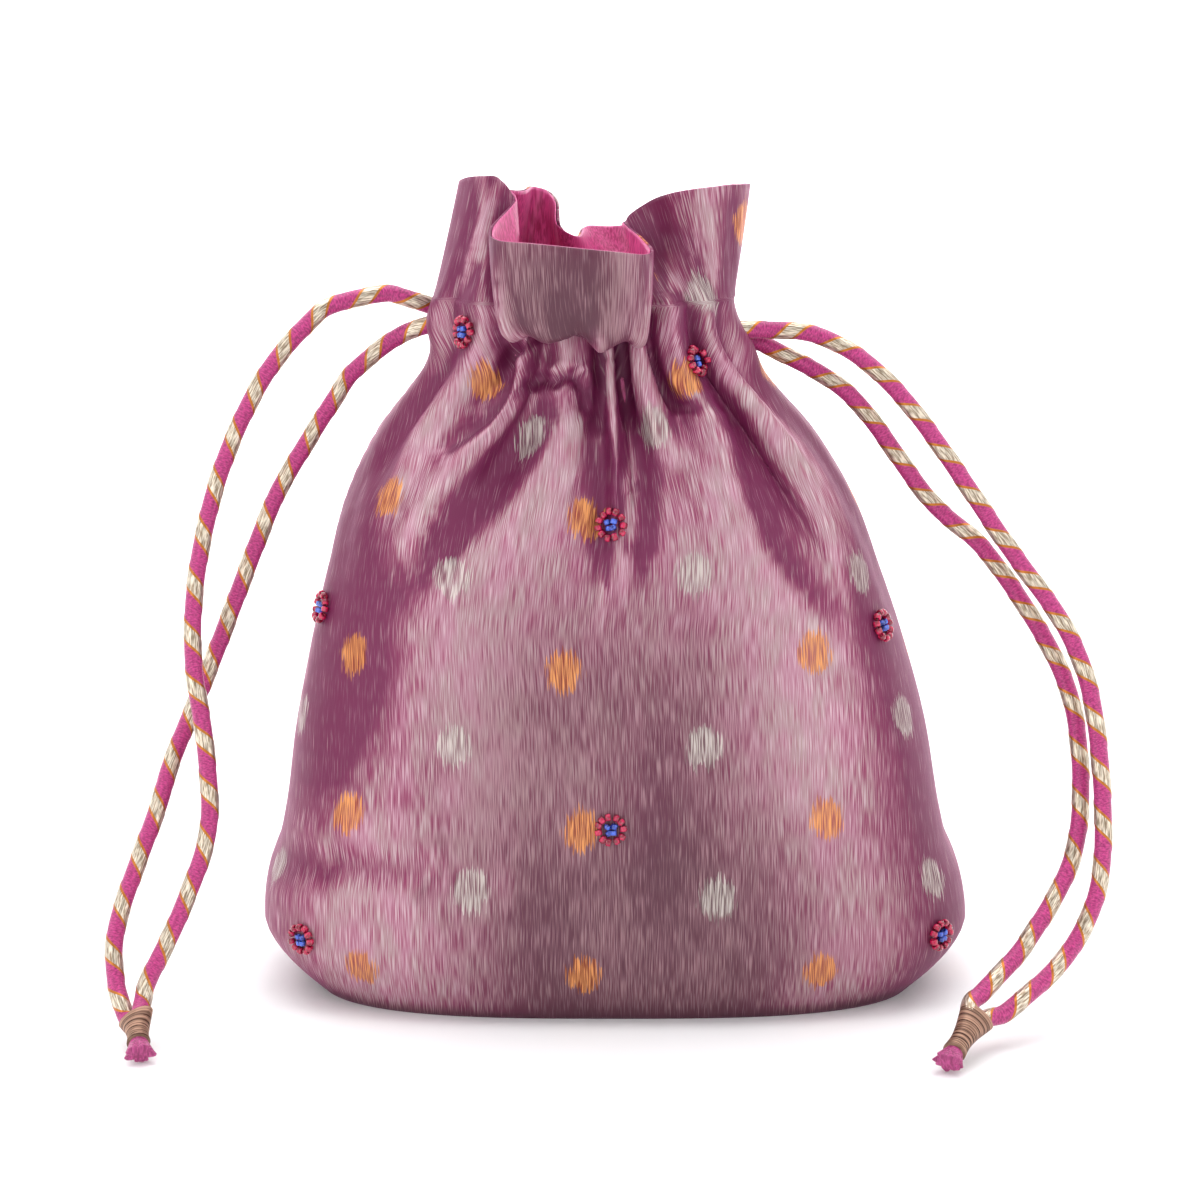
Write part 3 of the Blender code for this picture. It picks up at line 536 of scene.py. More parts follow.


# Folds over the smooth form.  Each is a line of points (w, s), where s is the
# height as a share of the casing's top, and past 1 the way up the frill; then
# its depth, negative for a groove, and its half width, both in millimetres;
# then how much paler the shot cloth is painted along it: a painted highlight,
# or painted shade where negative
FOLDS = [
    ([(3.60, 0.90), (3.14, 0.80), (2.81, 0.74), (2.43, 0.68), (1.76, 0.61)], -1.6, 5.5, -0.95),
    ([(1.80, 0.96), (2.30, 0.89), (2.30, 0.85), (1.97, 0.81)], -2.6, 2.4, -0.9),
    ([(2.80, 0.87), (2.51, 0.82), (2.21, 0.78), (2.00, 0.73), (1.85, 0.67)], 1.2, 4.0, 0.45),
    ([(1.70, 0.93), (1.35, 0.86), (1.44, 0.79), (1.51, 0.70)], 1.0, 5.0, 0.5),
    ([(1.12, 0.92), (0.98, 0.86), (0.91, 0.78), (0.64, 0.74), (0.79, 0.62), (0.80, 0.45)], -1.0, 5.0, -0.9),
    ([(0.10, 0.92), (0.05, 0.80), (0.05, 0.66)], 0.8, 4.0, 0.35),
    ([(2.71, 0.885), (3.16, 0.895), (3.56, 0.905), (3.80, 0.885), (3.87, 0.83)], -2.4, 1.5, -0.9),
    ([(3.56, 0.87), (3.70, 0.83), (3.67, 0.76), (3.65, 0.68)], 1.4, 2.6, 0.55),
    ([(1.95, 0.92), (2.33, 0.94), (3.10, 0.965)], -2.2, 1.5, -0.8),
    ([(4.19, 0.98), (4.05, 0.89), (3.98, 0.83)], -2.6, 1.6, -1.0),
    ([(5.10, 0.97), (5.02, 0.89), (4.99, 0.84)], -2.6, 1.8, -1.0),
    ([(4.51, 0.98), (4.45, 0.88), (4.38, 0.81)], 1.2, 1.5, 0.4),
    ([(4.95, 0.80), (4.91, 0.75), (4.98, 0.69)], 1.0, 1.5, 0.6),
    ([(4.50, 0.80), (4.45, 0.74), (4.30, 0.68)], -1.0, 4.2, -0.9),
    ([(5.22, 0.80), (5.19, 0.73), (5.11, 0.62)], -0.7, 2.6, -0.8),
    ([(4.14, 0.80), (4.01, 0.72), (4.15, 0.62)], -0.6, 2.4, -0.8),
    ([(5.97, 0.98), (5.93, 0.89), (6.13, 0.86), (6.45, 0.86)], -2.2, 1.8, -0.8),
    ([(5.50, 0.96), (5.55, 0.88), (5.60, 0.80)], 1.2, 3.4, 0.5),
    ([(7.08, 0.97), (6.81, 0.88), (6.87, 0.84), (6.62, 0.76), (6.60, 0.68), (6.88, 0.58)], -1.6, 4.2, -0.95),
    ([(7.60, 0.92), (7.80, 0.84), (7.76, 0.74), (7.79, 0.64)], 1.1, 6.0, 0.5),
    ([(6.30, 0.82), (6.25, 0.74), (6.30, 0.66)], 0.7, 6.0, 0.35),
    ([(8.45, 0.90), (8.35, 0.80), (8.40, 0.68), (8.60, 0.54)], -0.6, 3.5, -0.8),
    ([(0.70, 0.72), (1.10, 0.58), (1.25, 0.45), (1.10, 0.30)], -0.7, 11.0, -0.70),
    ([(8.50, 0.66), (8.30, 0.50), (8.20, 0.34)], -0.6, 9.0, -0.65),
    ([(0.50, 0.185), (1.20, 0.205), (2.20, 0.215), (3.30, 0.205)], -1.3, 4.5, -0.35),
    ([(0.80, 0.26), (1.40, 0.27), (2.00, 0.28)], 0.7, 6.0, 0.1),
    ([(5.15, 0.56), (5.10, 0.40), (4.90, 0.18)], -0.5, 9.0, -0.30),
    ([(3.60, 1.16), (3.85, 1.35), (3.95, 1.60), (3.90, 1.75)], -2.6, 3.4, -0.5),
    ([(4.30, 1.20), (4.25, 1.35), (4.20, 1.60)], 1.5, 2.2, 0.9),
    ([(3.05, 1.10), (3.05, 1.30), (2.95, 1.60), (2.95, 1.95)], 0.9, 2.4, 0.9),
    ([(5.05, 1.25), (5.10, 1.50), (5.10, 1.95)], 0.8, 2.2, 0.85),
    ([(1.05, 1.05), (1.15, 1.40), (1.30, 1.70), (1.45, 1.95)], 0.9, 2.2, 0.85),
    ([(0.40, 1.05), (0.45, 1.50), (0.50, 1.95)], -0.6, 3.2, -0.7),
    ([(1.75, 1.00), (1.75, 1.40), (1.85, 1.90)], -1.4, 2.6, -0.9),
    ([(7.05, 1.02), (7.00, 1.35), (7.00, 1.60)], 0.9, 2.2, 0.7),
    ([(6.45, 1.10), (6.60, 1.50), (6.75, 1.90)], -1.0, 2.8, -0.85),
    ([(7.55, 1.02), (7.65, 1.35), (7.55, 1.70)], -0.9, 2.4, -0.4),
    ([(8.05, 1.05), (8.10, 1.45), (8.15, 1.90)], 0.8, 1.8, 0.6),
    ([(8.55, 1.02), (8.55, 1.50), (8.55, 1.90)], -0.7, 2.2, -0.5),
    ([(10.5, 0.98), (10.6, 0.88), (10.7, 0.76)], -1.3, 2.4, -0.6),
    ([(11.5, 0.97), (11.4, 0.84), (11.6, 0.68)], 1.1, 4.0, 0.5),
    ([(12.3, 0.96), (12.6, 0.90), (12.9, 0.86)], -2.0, 1.6, -0.7),
    ([(13.5, 0.97), (13.5, 0.84), (13.3, 0.66)], 1.2, 4.0, 0.5),
    ([(14.6, 0.97), (14.4, 0.84), (14.5, 0.68)], -1.5, 3.2, -0.8),
    ([(15.4, 0.98), (15.6, 0.90), (15.3, 0.84)], -1.8, 1.8, -0.7),
    ([(16.4, 0.97), (16.3, 0.88), (16.5, 0.74)], 1.1, 3.6, 0.5),
    ([(17.4, 0.98), (17.4, 0.88), (17.3, 0.76)], -1.2, 2.6, -0.6),
    ([(11.2, 1.10), (11.3, 1.50), (11.4, 1.90)], -0.9, 2.8, -0.6),
    ([(12.8, 1.08), (12.9, 1.40), (13.0, 1.70)], 1.0, 2.4, 0.6),
    ([(15.6, 1.10), (15.7, 1.50), (15.8, 1.90)], -0.9, 2.6, -0.6),
    ([(16.7, 1.10), (16.8, 1.50), (16.8, 1.90)], 0.8, 2.4, 0.5),
]
# A fold does nothing past this many half widths
FOLD_REACH = 3.5
FOLD_SPOTS = 26

# Painted highlights and painted shade: stretches of cloth painted paler or
# browner than their facing gives: the place as (w, s), half width in pleats,
# half height in s, change of the painted sheen, change of the painted shade
PAINTED_LIGHT_PATCHES = [
    (3.9, 1.70, 1.15, 0.45, -0.35, 1.0), (7.9, 0.42, 0.9, 0.30, -0.30, 0.0),
    (6.9, 0.14, 1.5, 0.18, -0.25, 0.20), (4.9, 0.10, 1.4, 0.16, -0.10, 0.25),
    (2.3, 0.13, 1.0, 0.09, 0.08, -0.2), (3.2, 0.42, 0.5, 0.26, 0.12, 0.0),
    (7.4, 1.50, 1.0, 0.50, -0.15, 0.1), (0.9, 1.50, 1.0, 0.60, -0.35, 0.0),
    (5.1, 0.44, 0.5, 0.14, 0.16, 0.0), (3.4, 0.44, 0.35, 0.16, 0.12, 0.0),
]


def row_places():
    """Each ring's s: the height as a share of the casing's top, then 1 and
    the way up the frill."""
    heights = np.concatenate([BASE_EDGE_RISE * EDGE_SHARES, BODY_HEIGHTS])
    return np.concatenate([heights / CASING_TOP, 1 + FRILL_RISES])


def near_line(points, line, width):
    """Distance of each point to a fold's line, in half widths, and how strong
    the fold is there: it fades at both ends of the line."""
    at, level = np.array(line).T
    run = np.linspace(0, 1, FOLD_SPOTS)
    knots = np.linspace(0, 1, len(line))
    column = np.mod(np.round(smooth_curve(knots, at, run) * COLUMNS / PLEATS).astype(int), COLUMNS)
    row = np.abs(row_places()[:, None] - smooth_curve(knots, level, run)[None]).argmin(axis=0)
    spots = points[row, column]
    reach = FOLD_REACH * width * MM
    low, high = spots.min(axis=0) - reach, spots.max(axis=0) + reach
    close = ((points > low) & (points < high)).all(axis=2)
    gap = np.linalg.norm(points[close][:, None] - spots[None], axis=2)
    distance = np.full(points.shape[:2], FAR)
    strength = np.zeros(points.shape[:2])
    distance[close] = gap.min(axis=1) / (width * MM)
    strength[close] = np.sin(math.pi * (0.06 + 0.88 * run[gap.argmin(axis=1)])) ** 0.7
    return distance, strength


def add_folds(points):
    """Height and painted light and shade of all the folds: each a rounded ridge
    or groove exp(-d^1.6), d in half widths, less a shoulder of 0.3 at d = 2."""
    relief = np.zeros(points.shape[:2])
    painted_fold_light = np.zeros(points.shape[:2])
    for line, depth, width, paler in FOLDS:
        distance, strength = near_line(points, line, width)
        shoulder = 0.3 * bell((distance - 2.0) / 0.7)
        relief += depth * MM * strength * (bell(distance, 1.6) - shoulder)
        painted_fold_light += paler * strength * bell(distance / 1.15, 2.6)
    return relief, painted_fold_light


# Meshes
def add_mesh(name, points, faces, look):
    mesh = bpy.data.meshes.new(name)
    mesh.from_pydata(points.tolist(), [], faces)
    mesh.materials.append(look)
    mesh.shade_smooth()
    made = bpy.data.objects.new(name, mesh)
    bpy.context.collection.objects.link(made)
    return made


def tube_faces(rows, columns, looped=False):
    """Quads of a grid of closed rings, facing out for rings that run from
    -X over -Y and rise; looped joins the last ring to the first."""
    index = np.arange(rows * columns).reshape(rows, columns)
    if looped:
        index = np.vstack([index, index[:1]])
    after = np.roll(index, -1, 1)
    return np.stack([index[:-1], after[:-1], after[1:], index[1:]], -1).reshape(-1, 4)


def fan_faces(pole, first, sides):
    """Triangles from the ring that starts at vertex first to its pole."""
    near = first + np.arange(sides)
    return np.stack([np.full(sides, pole), np.roll(near, -1), near], 1)


def turn_outwards(made):
    shape = bmesh.new()
    shape.from_mesh(made.data)
    bmesh.ops.recalc_face_normals(shape, faces=shape.faces)
    shape.to_mesh(made.data)
    shape.free()
    made.data.shade_smooth()


def closed_tube(name, rings, ends, look):
    """Rings joined by quads, with a fan to a middle point at each end."""
    rows, sides = rings.shape[:2]
    count = rows * sides
    vertices = np.vstack([rings.reshape(-1, 3), ends])
    faces = tube_faces(rows, sides).tolist() + fan_faces(count, 0, sides).tolist()
    faces += fan_faces(count + 1, count - sides, sides)[:, ::-1].tolist()
    made = add_mesh(name, vertices, faces, look)
    turn_outwards(made)
    return made


def with_base(rings, shares):
    """The rings, after the first one drawn in to its middle by each share."""
    middle = rings[0].mean(axis=0)
    base = middle + (rings[0] - middle) * np.array(shares)[:, None, None]
    return np.concatenate([base, rings])


def sewn_cloth(name, grid, thickness, look):
    """Cloth over a grid of rings, closed at its foot by a fan to the first
    ring's middle, with its thickness inwards."""
    rows, columns = grid.shape[:2]
    vertices = np.vstack([grid.reshape(-1, 3), grid[0].mean(axis=0)])
    faces = tube_faces(rows, columns).tolist() + fan_faces(rows * columns, 0, columns).tolist()
    made = add_mesh(name, vertices, faces, look)
    solid = made.modifiers.new("cloth", "SOLIDIFY")
    solid.thickness = thickness
    solid.offset = -1
    return made


def set_attribute(made, name, values):
    layer = made.data.attributes.new(name, "FLOAT", "POINT")
    layer.data.foreach_set("value", np.ascontiguousarray(values, dtype=np.float32).ravel())


def set_uv(made, name, corners):
    made.data.uv_layers.new(name=name).data.foreach_set("uv", corners.ravel())


def arc_up(points):
    """Length along each column from the first ring."""
    steps = np.linalg.norm(np.diff(points, axis=0), axis=2)
    return np.concatenate([np.zeros((1, points.shape[1])), np.cumsum(steps, axis=0)])


# Woven dots on the front as (w, millimetres up the cloth); the back repeats
# the same half-drop rows
GOLD_FRONT = [
    (2.0, 19), (4.2, 16), (6.5, 18), (1.65, 63), (4.0, 58), (6.6, 62), (1.3, 109),
    (3.85, 103), (6.65, 108), (1.35, 155), (3.9, 145), (1.8, 192), (6.4, 190),
    (2.1, 228), (5.7, 236),
]
SILVER_FRONT = [
    (3.15, 41), (5.5, 39), (7.85, 42), (0.7, 42), (3.1, 83), (5.6, 82), (8.05, 91),
    (0.6, 89), (2.95, 130), (5.7, 130), (8.05, 134), (0.05, 136), (3.15, 171),
    (5.45, 171), (0.0, 181), (7.6, 222),
]
DOT_ROW = 45.0
DOT_PITCH = 2.25
GOLD_SIZE = (5.0 * MM, 6.3 * MM)
SILVER_SIZE = (5.2 * MM, 6.6 * MM)


def back_dots(first_w, first_row):
    """The rest of the staggered rows, on the back."""
    columns = [first_w + DOT_PITCH * i for i in range(4)]
    return [(at, first_row + DOT_ROW * row) for at in columns for row in range(6)]


def dot_distance(points, up, dots, half_size):
    """Distance to the nearest dot's middle, 1 at the dot's edge."""
    half_width, half_height = half_size
    best = np.full(points.shape[:2], FAR)
    for at, height in dots:
        column = int(round(at * COLUMNS / PLEATS)) % COLUMNS
        row = int(np.argmin(np.abs(up[:, column] - height * MM)))
        across = np.linalg.norm((points - points[row, column])[..., :2], axis=2)
        rise = np.abs(up - up[row, column])
        best = np.minimum(best, np.hypot(across / half_width, rise / half_height))
    return best


# Brocade and lining
def slack_relief(points):
    """The cloth's own unevenness: soft gathers towards the neck, a slack
    lower body and a wavy frill."""
    share = points[..., 2] / NECK_HEIGHT
    body = (np.arange(len(points)) < FRILL_ROW)[:, None]
    gather = smooth_step((share - 0.60) / 0.35)
    low = smooth_step((0.5 - share) / 0.4)
    # where it lies, its reach in millimetres, the size of its features in
    # columns and in rows, and its seed
    kinds = [
        (body * gather, 0.45, 14, 50, 3),
        (body * (1 - gather), 0.30, 26, 40, 4),
        (body * low, 0.40, 44, 16, 5),
        (~body, 0.35, 14, 60, 6),
    ]
    relief = np.zeros(share.shape)
    for where, reach, across, along, seed in kinds:
        relief += where * reach * MM * smooth_noise(share.shape, across, along, seed)
    return relief


def eased_casing(points):
    """Rounds the step at the casing's top: rings near it are averaged with
    those above and below."""
    ease = bell((np.arange(len(points)) - FRILL_ROW + 1) / EASE_ROWS)[:, None, None]
    for _ in range(EASE_ROUNDS):
        mean = points.copy()
        mean[1:-1] = (points[:-2] + 2 * points[1:-1] + points[2:]) / 4
        points = points + (mean - points) * ease
    return points


def cloth_uv(grid, smooth, up):
    """UV of each face's corners in metres: on the base its plan; on the wall
    how far the corner lies from the middle of the front or the back, so that
    the threads stand upright, and how far up the cloth."""
    closed = np.concatenate([smooth, smooth[:, :1]], axis=1)
    steps = np.linalg.norm(np.diff(closed[..., :2], axis=1), axis=2)
    run = np.concatenate([np.zeros((len(smooth), 1)), np.cumsum(steps, axis=1)], axis=1)
    run[-len(FRILL_RISES):] = run[-len(FRILL_RISES) // 2]
    middle = np.where(np.arange(COLUMNS) < COLUMNS // 2, COLUMNS // 4, 3 * COLUMNS // 4)
    left, right = run[:, :-1] - run[:, middle], run[:, 1:] - run[:, middle]
    here, after = np.stack([left, up], -1), np.stack([right, np.roll(up, -1, 1)], -1)
    wall = np.stack([here[:-1], after[:-1], after[1:], here[1:]], axis=2)
    plan = grid[:BASE_ROWS, :, :2] + 0.5
    beside = np.roll(plan, -1, 1)
    base = np.stack([plan[:-1], beside[:-1], beside[1:], plan[1:]], axis=2)
    middle_plan = np.broadcast_to(plan[0].mean(axis=0), plan[0].shape)
    fan = np.stack([middle_plan, beside[0], plan[0]], axis=1)
    return np.concatenate([base.reshape(-1, 2), wall.reshape(-1, 2), fan.reshape(-1, 2)])


def middle_line(points):
    """The bag's middle line drifts to the left as it rises."""
    return NECK_SIDE_SHIFT * np.clip(points[..., 2] / NECK_HEIGHT, 0, 1) ** SHIFT_POWER


def stand_out(points, facing):
    """How far each point stands out from the average of its neighbours along
    the ring, positive on ridges and negative in valleys."""
    reach = range(-9, 10, 3)
    mean = sum(np.roll(points, k, 1) for k in reach) / len(reach)
    return ((points - mean) * facing).sum(axis=2)


# Painted sheen of the shot cloth by its turn to the side in degrees, standing
# for the softboxes' reflections in its metal threads: palest where it turns a
# little, magenta at the sides and where a fold turns back
TURNS = [-90, -45, -22, -8, 0, 6, 13, 22, 34, 48, 65, 90]
PAINTED_SHEEN_BY_TURN = [0.04, 0.06, 0.20, 0.42, 0.50, 0.70, 0.86, 0.70, 0.38, 0.10, 0.02, 0.0]


def painted_sheen_and_shade(points, facing, painted_fold_light):
    """The painted sheen and painted shade at each point, both from 0 to 1. The
    sheen follows the cloth's turn to the side and its ridges; painted shade lies
    where the lower body faces straight out, between the softboxes' reflections,
    and along the base edge as a painted contact shadow."""
    side = np.sign(points[..., 0] - middle_line(points))
    turn = np.degrees(np.arctan2(facing[..., 0] * side, np.abs(facing[..., 1]) + 1e-9))
    no_fold_highlight = 1 - np.clip(painted_fold_light, 0, 1)
    level = row_places()[:, None]
    # a painted contact shadow along the base edge
    base_edge_shadow = bell(level / 0.018)
    pale = smooth_curve(TURNS, PAINTED_SHEEN_BY_TURN, turn) + painted_fold_light - 0.5 * base_edge_shadow
    # ridges get a painted highlight and valleys painted shade
    pale += 0.22 * np.clip(stand_out(points, facing) / (1.2 * MM), -1, 1)
    pale += 0.09 * smooth_noise(pale.shape, 30, 40, 11) + 0.07 * smooth_noise(pale.shape, 7, 16, 12)
    # painted shade, as a dull reflection, where the lower body faces straight out
    low = smooth_step((0.75 - points[..., 2] / NECK_HEIGHT) / 0.3)
    painted_shade = np.maximum(0.8 * bell(turn / 9.0) * low * no_fold_highlight, base_edge_shadow)
    # painted highlights and painted shade in patches
    for at, height, wide, tall, paler, browner in PAINTED_LIGHT_PATCHES:
        share = bell((COLUMN_W - at) / wide, 4) * bell((level - height) / tall, 4)
        pale += paler * share
        painted_shade = np.clip(painted_shade + browner * share * no_fold_highlight, 0, 1)
    return np.clip(pale, 0, 1), np.clip(painted_shade, 0, 1)


def make_bag(look):
    smooth = eased_casing(bag_grid())
    relief, painted_fold_light = add_folds(smooth)
    relief += slack_relief(smooth)
    # the base edge stays plain: the relief grows over the rings from 2 to 10
    relief *= np.clip((np.arange(len(smooth)) - 2) / 8, 0, 1)[:, None]
    points = smooth + grid_normals(smooth) * relief[..., None]
    up = arc_up(smooth)
    grid = with_base(points, np.linspace(0, 1, BASE_ROWS + 1)[1:-1])
    bag = sewn_cloth("brocade_bag", grid, CLOTH, look)
    set_uv(bag, "cloth", cloth_uv(grid, smooth, up))
    gold = dot_distance(points, up, GOLD_FRONT + back_dots(8.9, 17), GOLD_SIZE)
    silver = dot_distance(points, up, SILVER_FRONT + back_dots(10.2, 39.5), SILVER_SIZE)
    # the painted sheen and painted shade go onto the cloth as attributes, with fixed values on the base
    pale, painted_shade = painted_sheen_and_shade(points, grid_normals(points), painted_fold_light)
    fields = [("gold_dot", gold, FAR), ("silver_dot", silver, FAR)]
    fields += [("pale", pale, BASE_SHEEN_AND_SHADE), ("painted_shade", painted_shade, BASE_SHEEN_AND_SHADE)]
    for name, field, on_base in fields:
        base = np.full((BASE_ROWS - 1) * COLUMNS, on_base)
        set_attribute(bag, name, np.concatenate([base, field.ravel(), [on_base]]))
    return bag, points


def inner_ring(ring, inset, height):
    return raised(ring - ring_normals(ring) * inset, height)


def make_lining(brocade_points, look):
    """The lining: a plain shell inside the body and the neck, then close
    under the brocade up the frill, with every second column."""
    facing = grid_normals(brocade_points)[FRILL_ROW:]
    slack = bell((FRILL_RISES - 0.30) / 0.28)[:, None]
    gap = CLOTH + LINING_GAP + 0.6 * MM * slack
    frill = brocade_points[FRILL_ROW:] - facing * gap[..., None]
    # it lies loose over the floor of the front lobe and bridges its tucks
    tucks = np.max([bell((COLUMN_W - at) / 0.17) for at, _, _ in POUCH_TUCKS], axis=0)
    frill[..., 2] += (0.6 + 2.4 * front_lobe(COLUMN_W) + 2.4 * tucks) * MM * slack
    w = COLUMN_W[::2]
    rings = []
    for height in LINING_HEIGHTS:
        drawn_in = max(1 - height / BASE_EDGE_RISE, 0) ** INSET_POWER
        ring = outline_points(outline(max(height, BASE_EDGE_RISE), drawn_in), places_round(w, height))
        rings.append(inner_ring(ring, valley_push(w, height).max() + 3.0 * MM, height))
    rings += [inner_ring(neck_ring(w), inset * MM, height * MM) for height, inset in LINING_NECK]
    grid = np.concatenate([np.array(rings), frill[4:, ::2]])
    return sewn_cloth("satin_lining", with_base(grid, (0.33, 0.67)), LINING, look)


# Cords
def spline_points(route, spacing):
    """Evenly spaced points on a smooth curve through the route, and its
    length."""
    route = np.array(route, float)
    ends = np.vstack([2 * route[0] - route[1], route, 2 * route[-1] - route[-2]])
    before, start, end, after = (ends[k:len(ends) - 3 + k, None] for k in range(4))
    t = np.linspace(0, 1, 24, endpoint=False)[:, None]
    fine = cubic(t, start, end, (end - before) / 2, (after - start) / 2)
    fine = np.vstack([fine.reshape(-1, 3), route[-1:]])
    run = np.concatenate([[0], np.cumsum(np.linalg.norm(np.diff(fine, axis=0), axis=1))])
    stops = np.linspace(0, run[-1], math.ceil(run[-1] / spacing) + 1)
    return np.stack([np.interp(stops, run, fine[:, axis]) for axis in range(3)], 1), run[-1]


def rings_round(path, radius, sides):
    """A ring of points round each point of the path, carried along it
    without twist."""
    tangent = np.gradient(path, axis=0)
    tangent /= np.linalg.norm(tangent, axis=1, keepdims=True)
    across = np.zeros_like(path)
    across[0] = np.cross(tangent[0], [0.0, 0.0, 1.0])
    across[0] /= np.linalg.norm(across[0])
    for i in range(1, len(path)):
        carried = across[i - 1] - tangent[i] * (across[i - 1] @ tangent[i])
        across[i] = carried / np.linalg.norm(carried)
    other = np.cross(tangent, across)
    turn = math.tau * np.arange(sides)[:, None] / sides
    return path[:, None] + radius * (across[:, None] * np.cos(turn) + other[:, None] * np.sin(turn))


def cord_uv(mesh, v):
    """UV of each face's corners: the way round the cord, and the ribbon's
    turns along it; faces that close a ring run on to u = 1."""
    corners = np.empty(len(mesh.loops), dtype=np.int32)
    mesh.loops.foreach_get("vertex_index", corners)
    u = corners % CORD_SIDES / CORD_SIDES
    wall = u[:(len(v) - 1) * CORD_SIDES * 4].reshape(-1, 4)
    wall[(wall.max(axis=1, keepdims=True) > 0.9) & (wall == 0)] = 1.0
    row = np.minimum(corners // CORD_SIDES, len(v) - 1)
    return np.stack([u, v[row] / GOTA_PITCH], 1)


def wound_cord(name, route, look):
    """A satin cord wound with ribbon: a tube whose radius steps up where the
    ribbon's helix passes, frac(v / pitch + u) < share."""
    path, length = spline_points(np.array(route) * MM, 0.6 * MM)
    u = np.arange(CORD_SIDES) / CORD_SIDES
    v = np.linspace(0, length, len(path))
    phase = np.mod(v[:, None] / GOTA_PITCH + u, 1.0)
    ribbon = smooth_step(phase / GOTA_EDGE) * (1 - smooth_step((phase - GOTA_SHARE) / GOTA_EDGE))
    radius = CORD_DIAMETER / 2 - CORD_SINK + GOTA_THICKNESS * ribbon
    rings = rings_round(path, radius[..., None], CORD_SIDES)
    cord = closed_tube(name, rings, path[[0, -1]], look)
    set_uv(cord, "cord", cord_uv(cord.data, v))
    return cord, [tuple(point) for point in path[::6]], length


def hidden_run(name, before, places, level, after, look):
    """The stretch of a drawstring inside the casing: a smooth ring inside
    the valleys."""
    steps = np.arange(720) / 720
    ring = outline_points(outline(NECK_HEIGHT), steps)
    ring = ring - ring_normals(ring) * (HIDDEN_INSET + CORD_DIAMETER / 2)
    ring = np.stack([np.interp(places, steps, ring[:, axis], period=1.0) for axis in (0, 1)], 1)
    path, _ = spline_points(np.vstack([before, raised(ring, level) / MM, after]) * MM, 2 * MM)
    rings = rings_round(path, CORD_DIAMETER / 2 - 0.1 * MM, 12)
    return closed_tube(name, rings, path[[0, -1]], look)


# Bindings and ends
def along_axis(axis, side, stations, sides, profile):
    """Points round an axis: profile(share, angle) gives the two half sizes,
    the first of them in the direction of side."""
    start, end = np.array(axis, float) * MM
    direction = (end - start) / np.linalg.norm(end - start)
    across = side - direction * (side @ direction)
    across /= np.linalg.norm(across)
    upward = np.cross(across, direction)
    share, angle = np.meshgrid(stations, math.tau * np.arange(sides) / sides, indexing="ij")
    wide, tall = profile(share, angle)
    middle = start + (end - start) * share[..., None]
    middle += across * (wide * np.cos(angle))[..., None]
    return middle + upward * (tall * np.sin(angle))[..., None]


def thread_binding(name, axis, side, look):
    """Thread wound round the two strands: half sizes follow the collar and
    the slim part, with a ridge |sin| for each turn of thread."""
    turns = math.dist(*axis) * MM / THREAD_PITCH

    def profile(share, angle):
        slim, collar = BINDING_DIAMETER / 2, BINDING_COLLAR_WIDTH / 2
        stops = [0, 0.2, 0.45, 0.75, 1.0]
        wide = smooth_curve(stops, [collar * 0.93, collar * 0.78, slim * 1.2, slim, slim * 1.1], share)
        tall = smooth_curve(stops, [slim * 0.95, slim * 1.05, slim * 1.1, slim, slim * 1.1], share)
        lay = share * turns + angle / math.tau + 0.25 * np.sin(angle * 2 + 3 * share)
        ridge = THREAD_RIDGE * np.abs(np.sin(math.pi * lay)) - THREAD_SINK
        return wide + ridge, tall + ridge

    stations = np.linspace(0, 1, int(turns * 7))
    rings = along_axis(axis, side, stations, BINDING_SIDES, profile)
    made = closed_tube(name, rings, rings[[0, -1]].mean(axis=1), look)
    set_attribute(made, "turns", turns * np.append(np.repeat(stations, BINDING_SIDES), [0, 1]))
    return made


def cut_end(name, axis, seed, look):
    """The cut end of the cord: cloth layers that fan out in ruffles."""
    start, end = np.array(axis, float)
    direction = (end - start) / np.linalg.norm(end - start)
    tuft = (end + direction * 0.1, end + direction * 5.2)
    phases = np.random.default_rng(seed).uniform(0, math.tau, 3)

    def profile(share, angle):
        waves = zip((0.16, 0.12, 0.07), (5, 8, 13), phases)
        ruffle = share * sum(size * np.sin(count * angle + phase) for size, count, phase in waves)
        close = np.sqrt(np.clip(1 - np.clip((share - 0.86) / 0.14, 0, 1) ** 2, 0.04, 1))
        wide = (2.5 + 1.6 * share) * MM * (1 + ruffle)
        tall = (2.4 + 0.45 * share) * MM * (1 + 0.7 * ruffle)
        return wide * close, tall * close

    stations = np.concatenate([np.linspace(0, 0.86, 16), np.linspace(0.88, 1.0, 8)])
    rings = along_axis(tuft, np.cross(direction, [0.0, 0.0, 1.0]), stations, 64, profile)
    return closed_tube(name, rings, rings[[0, -1]].mean(axis=1), look)


# Bead flowers
def rounded(wave):
    return np.sign(wave) * np.abs(wave) ** 0.75


def bead_points(size):
    """A seed bead: a rounded ring profile spun round its hole along X."""
    radius = BEAD_DIAMETER / 2 * size
    turn = math.tau * np.arange(BEAD_AROUND) / BEAD_AROUND
    along = BEAD_HALF_LENGTH * size * rounded(np.sin(turn))
    out = (radius + BEAD_HOLE) / 2 + (radius - BEAD_HOLE) / 2 * rounded(np.cos(turn))
    spin = math.tau * np.arange(BEAD_SIDES)[:, None] / BEAD_SIDES
    along = np.broadcast_to(along, (BEAD_SIDES, BEAD_AROUND))
    return np.stack([along, out * np.cos(spin), out * np.sin(spin)], -1).reshape(-1, 3)


def bead_set(name, places, look):
    """Beads joined into one piece; places are (middle, axes, size), where
    the rows of axes are the bead's own X, Y and Z."""
    points = np.array([middle + bead_points(size) @ axes for middle, axes, size in places])
    quads = tube_faces(BEAD_SIDES, BEAD_AROUND, looped=True)
    faces = np.vstack([quads + number * points.shape[1] for number in range(len(points))])
    made = add_mesh(name, points.reshape(-1, 3), faces.tolist(), look)
    turn_outwards(made)
    return made


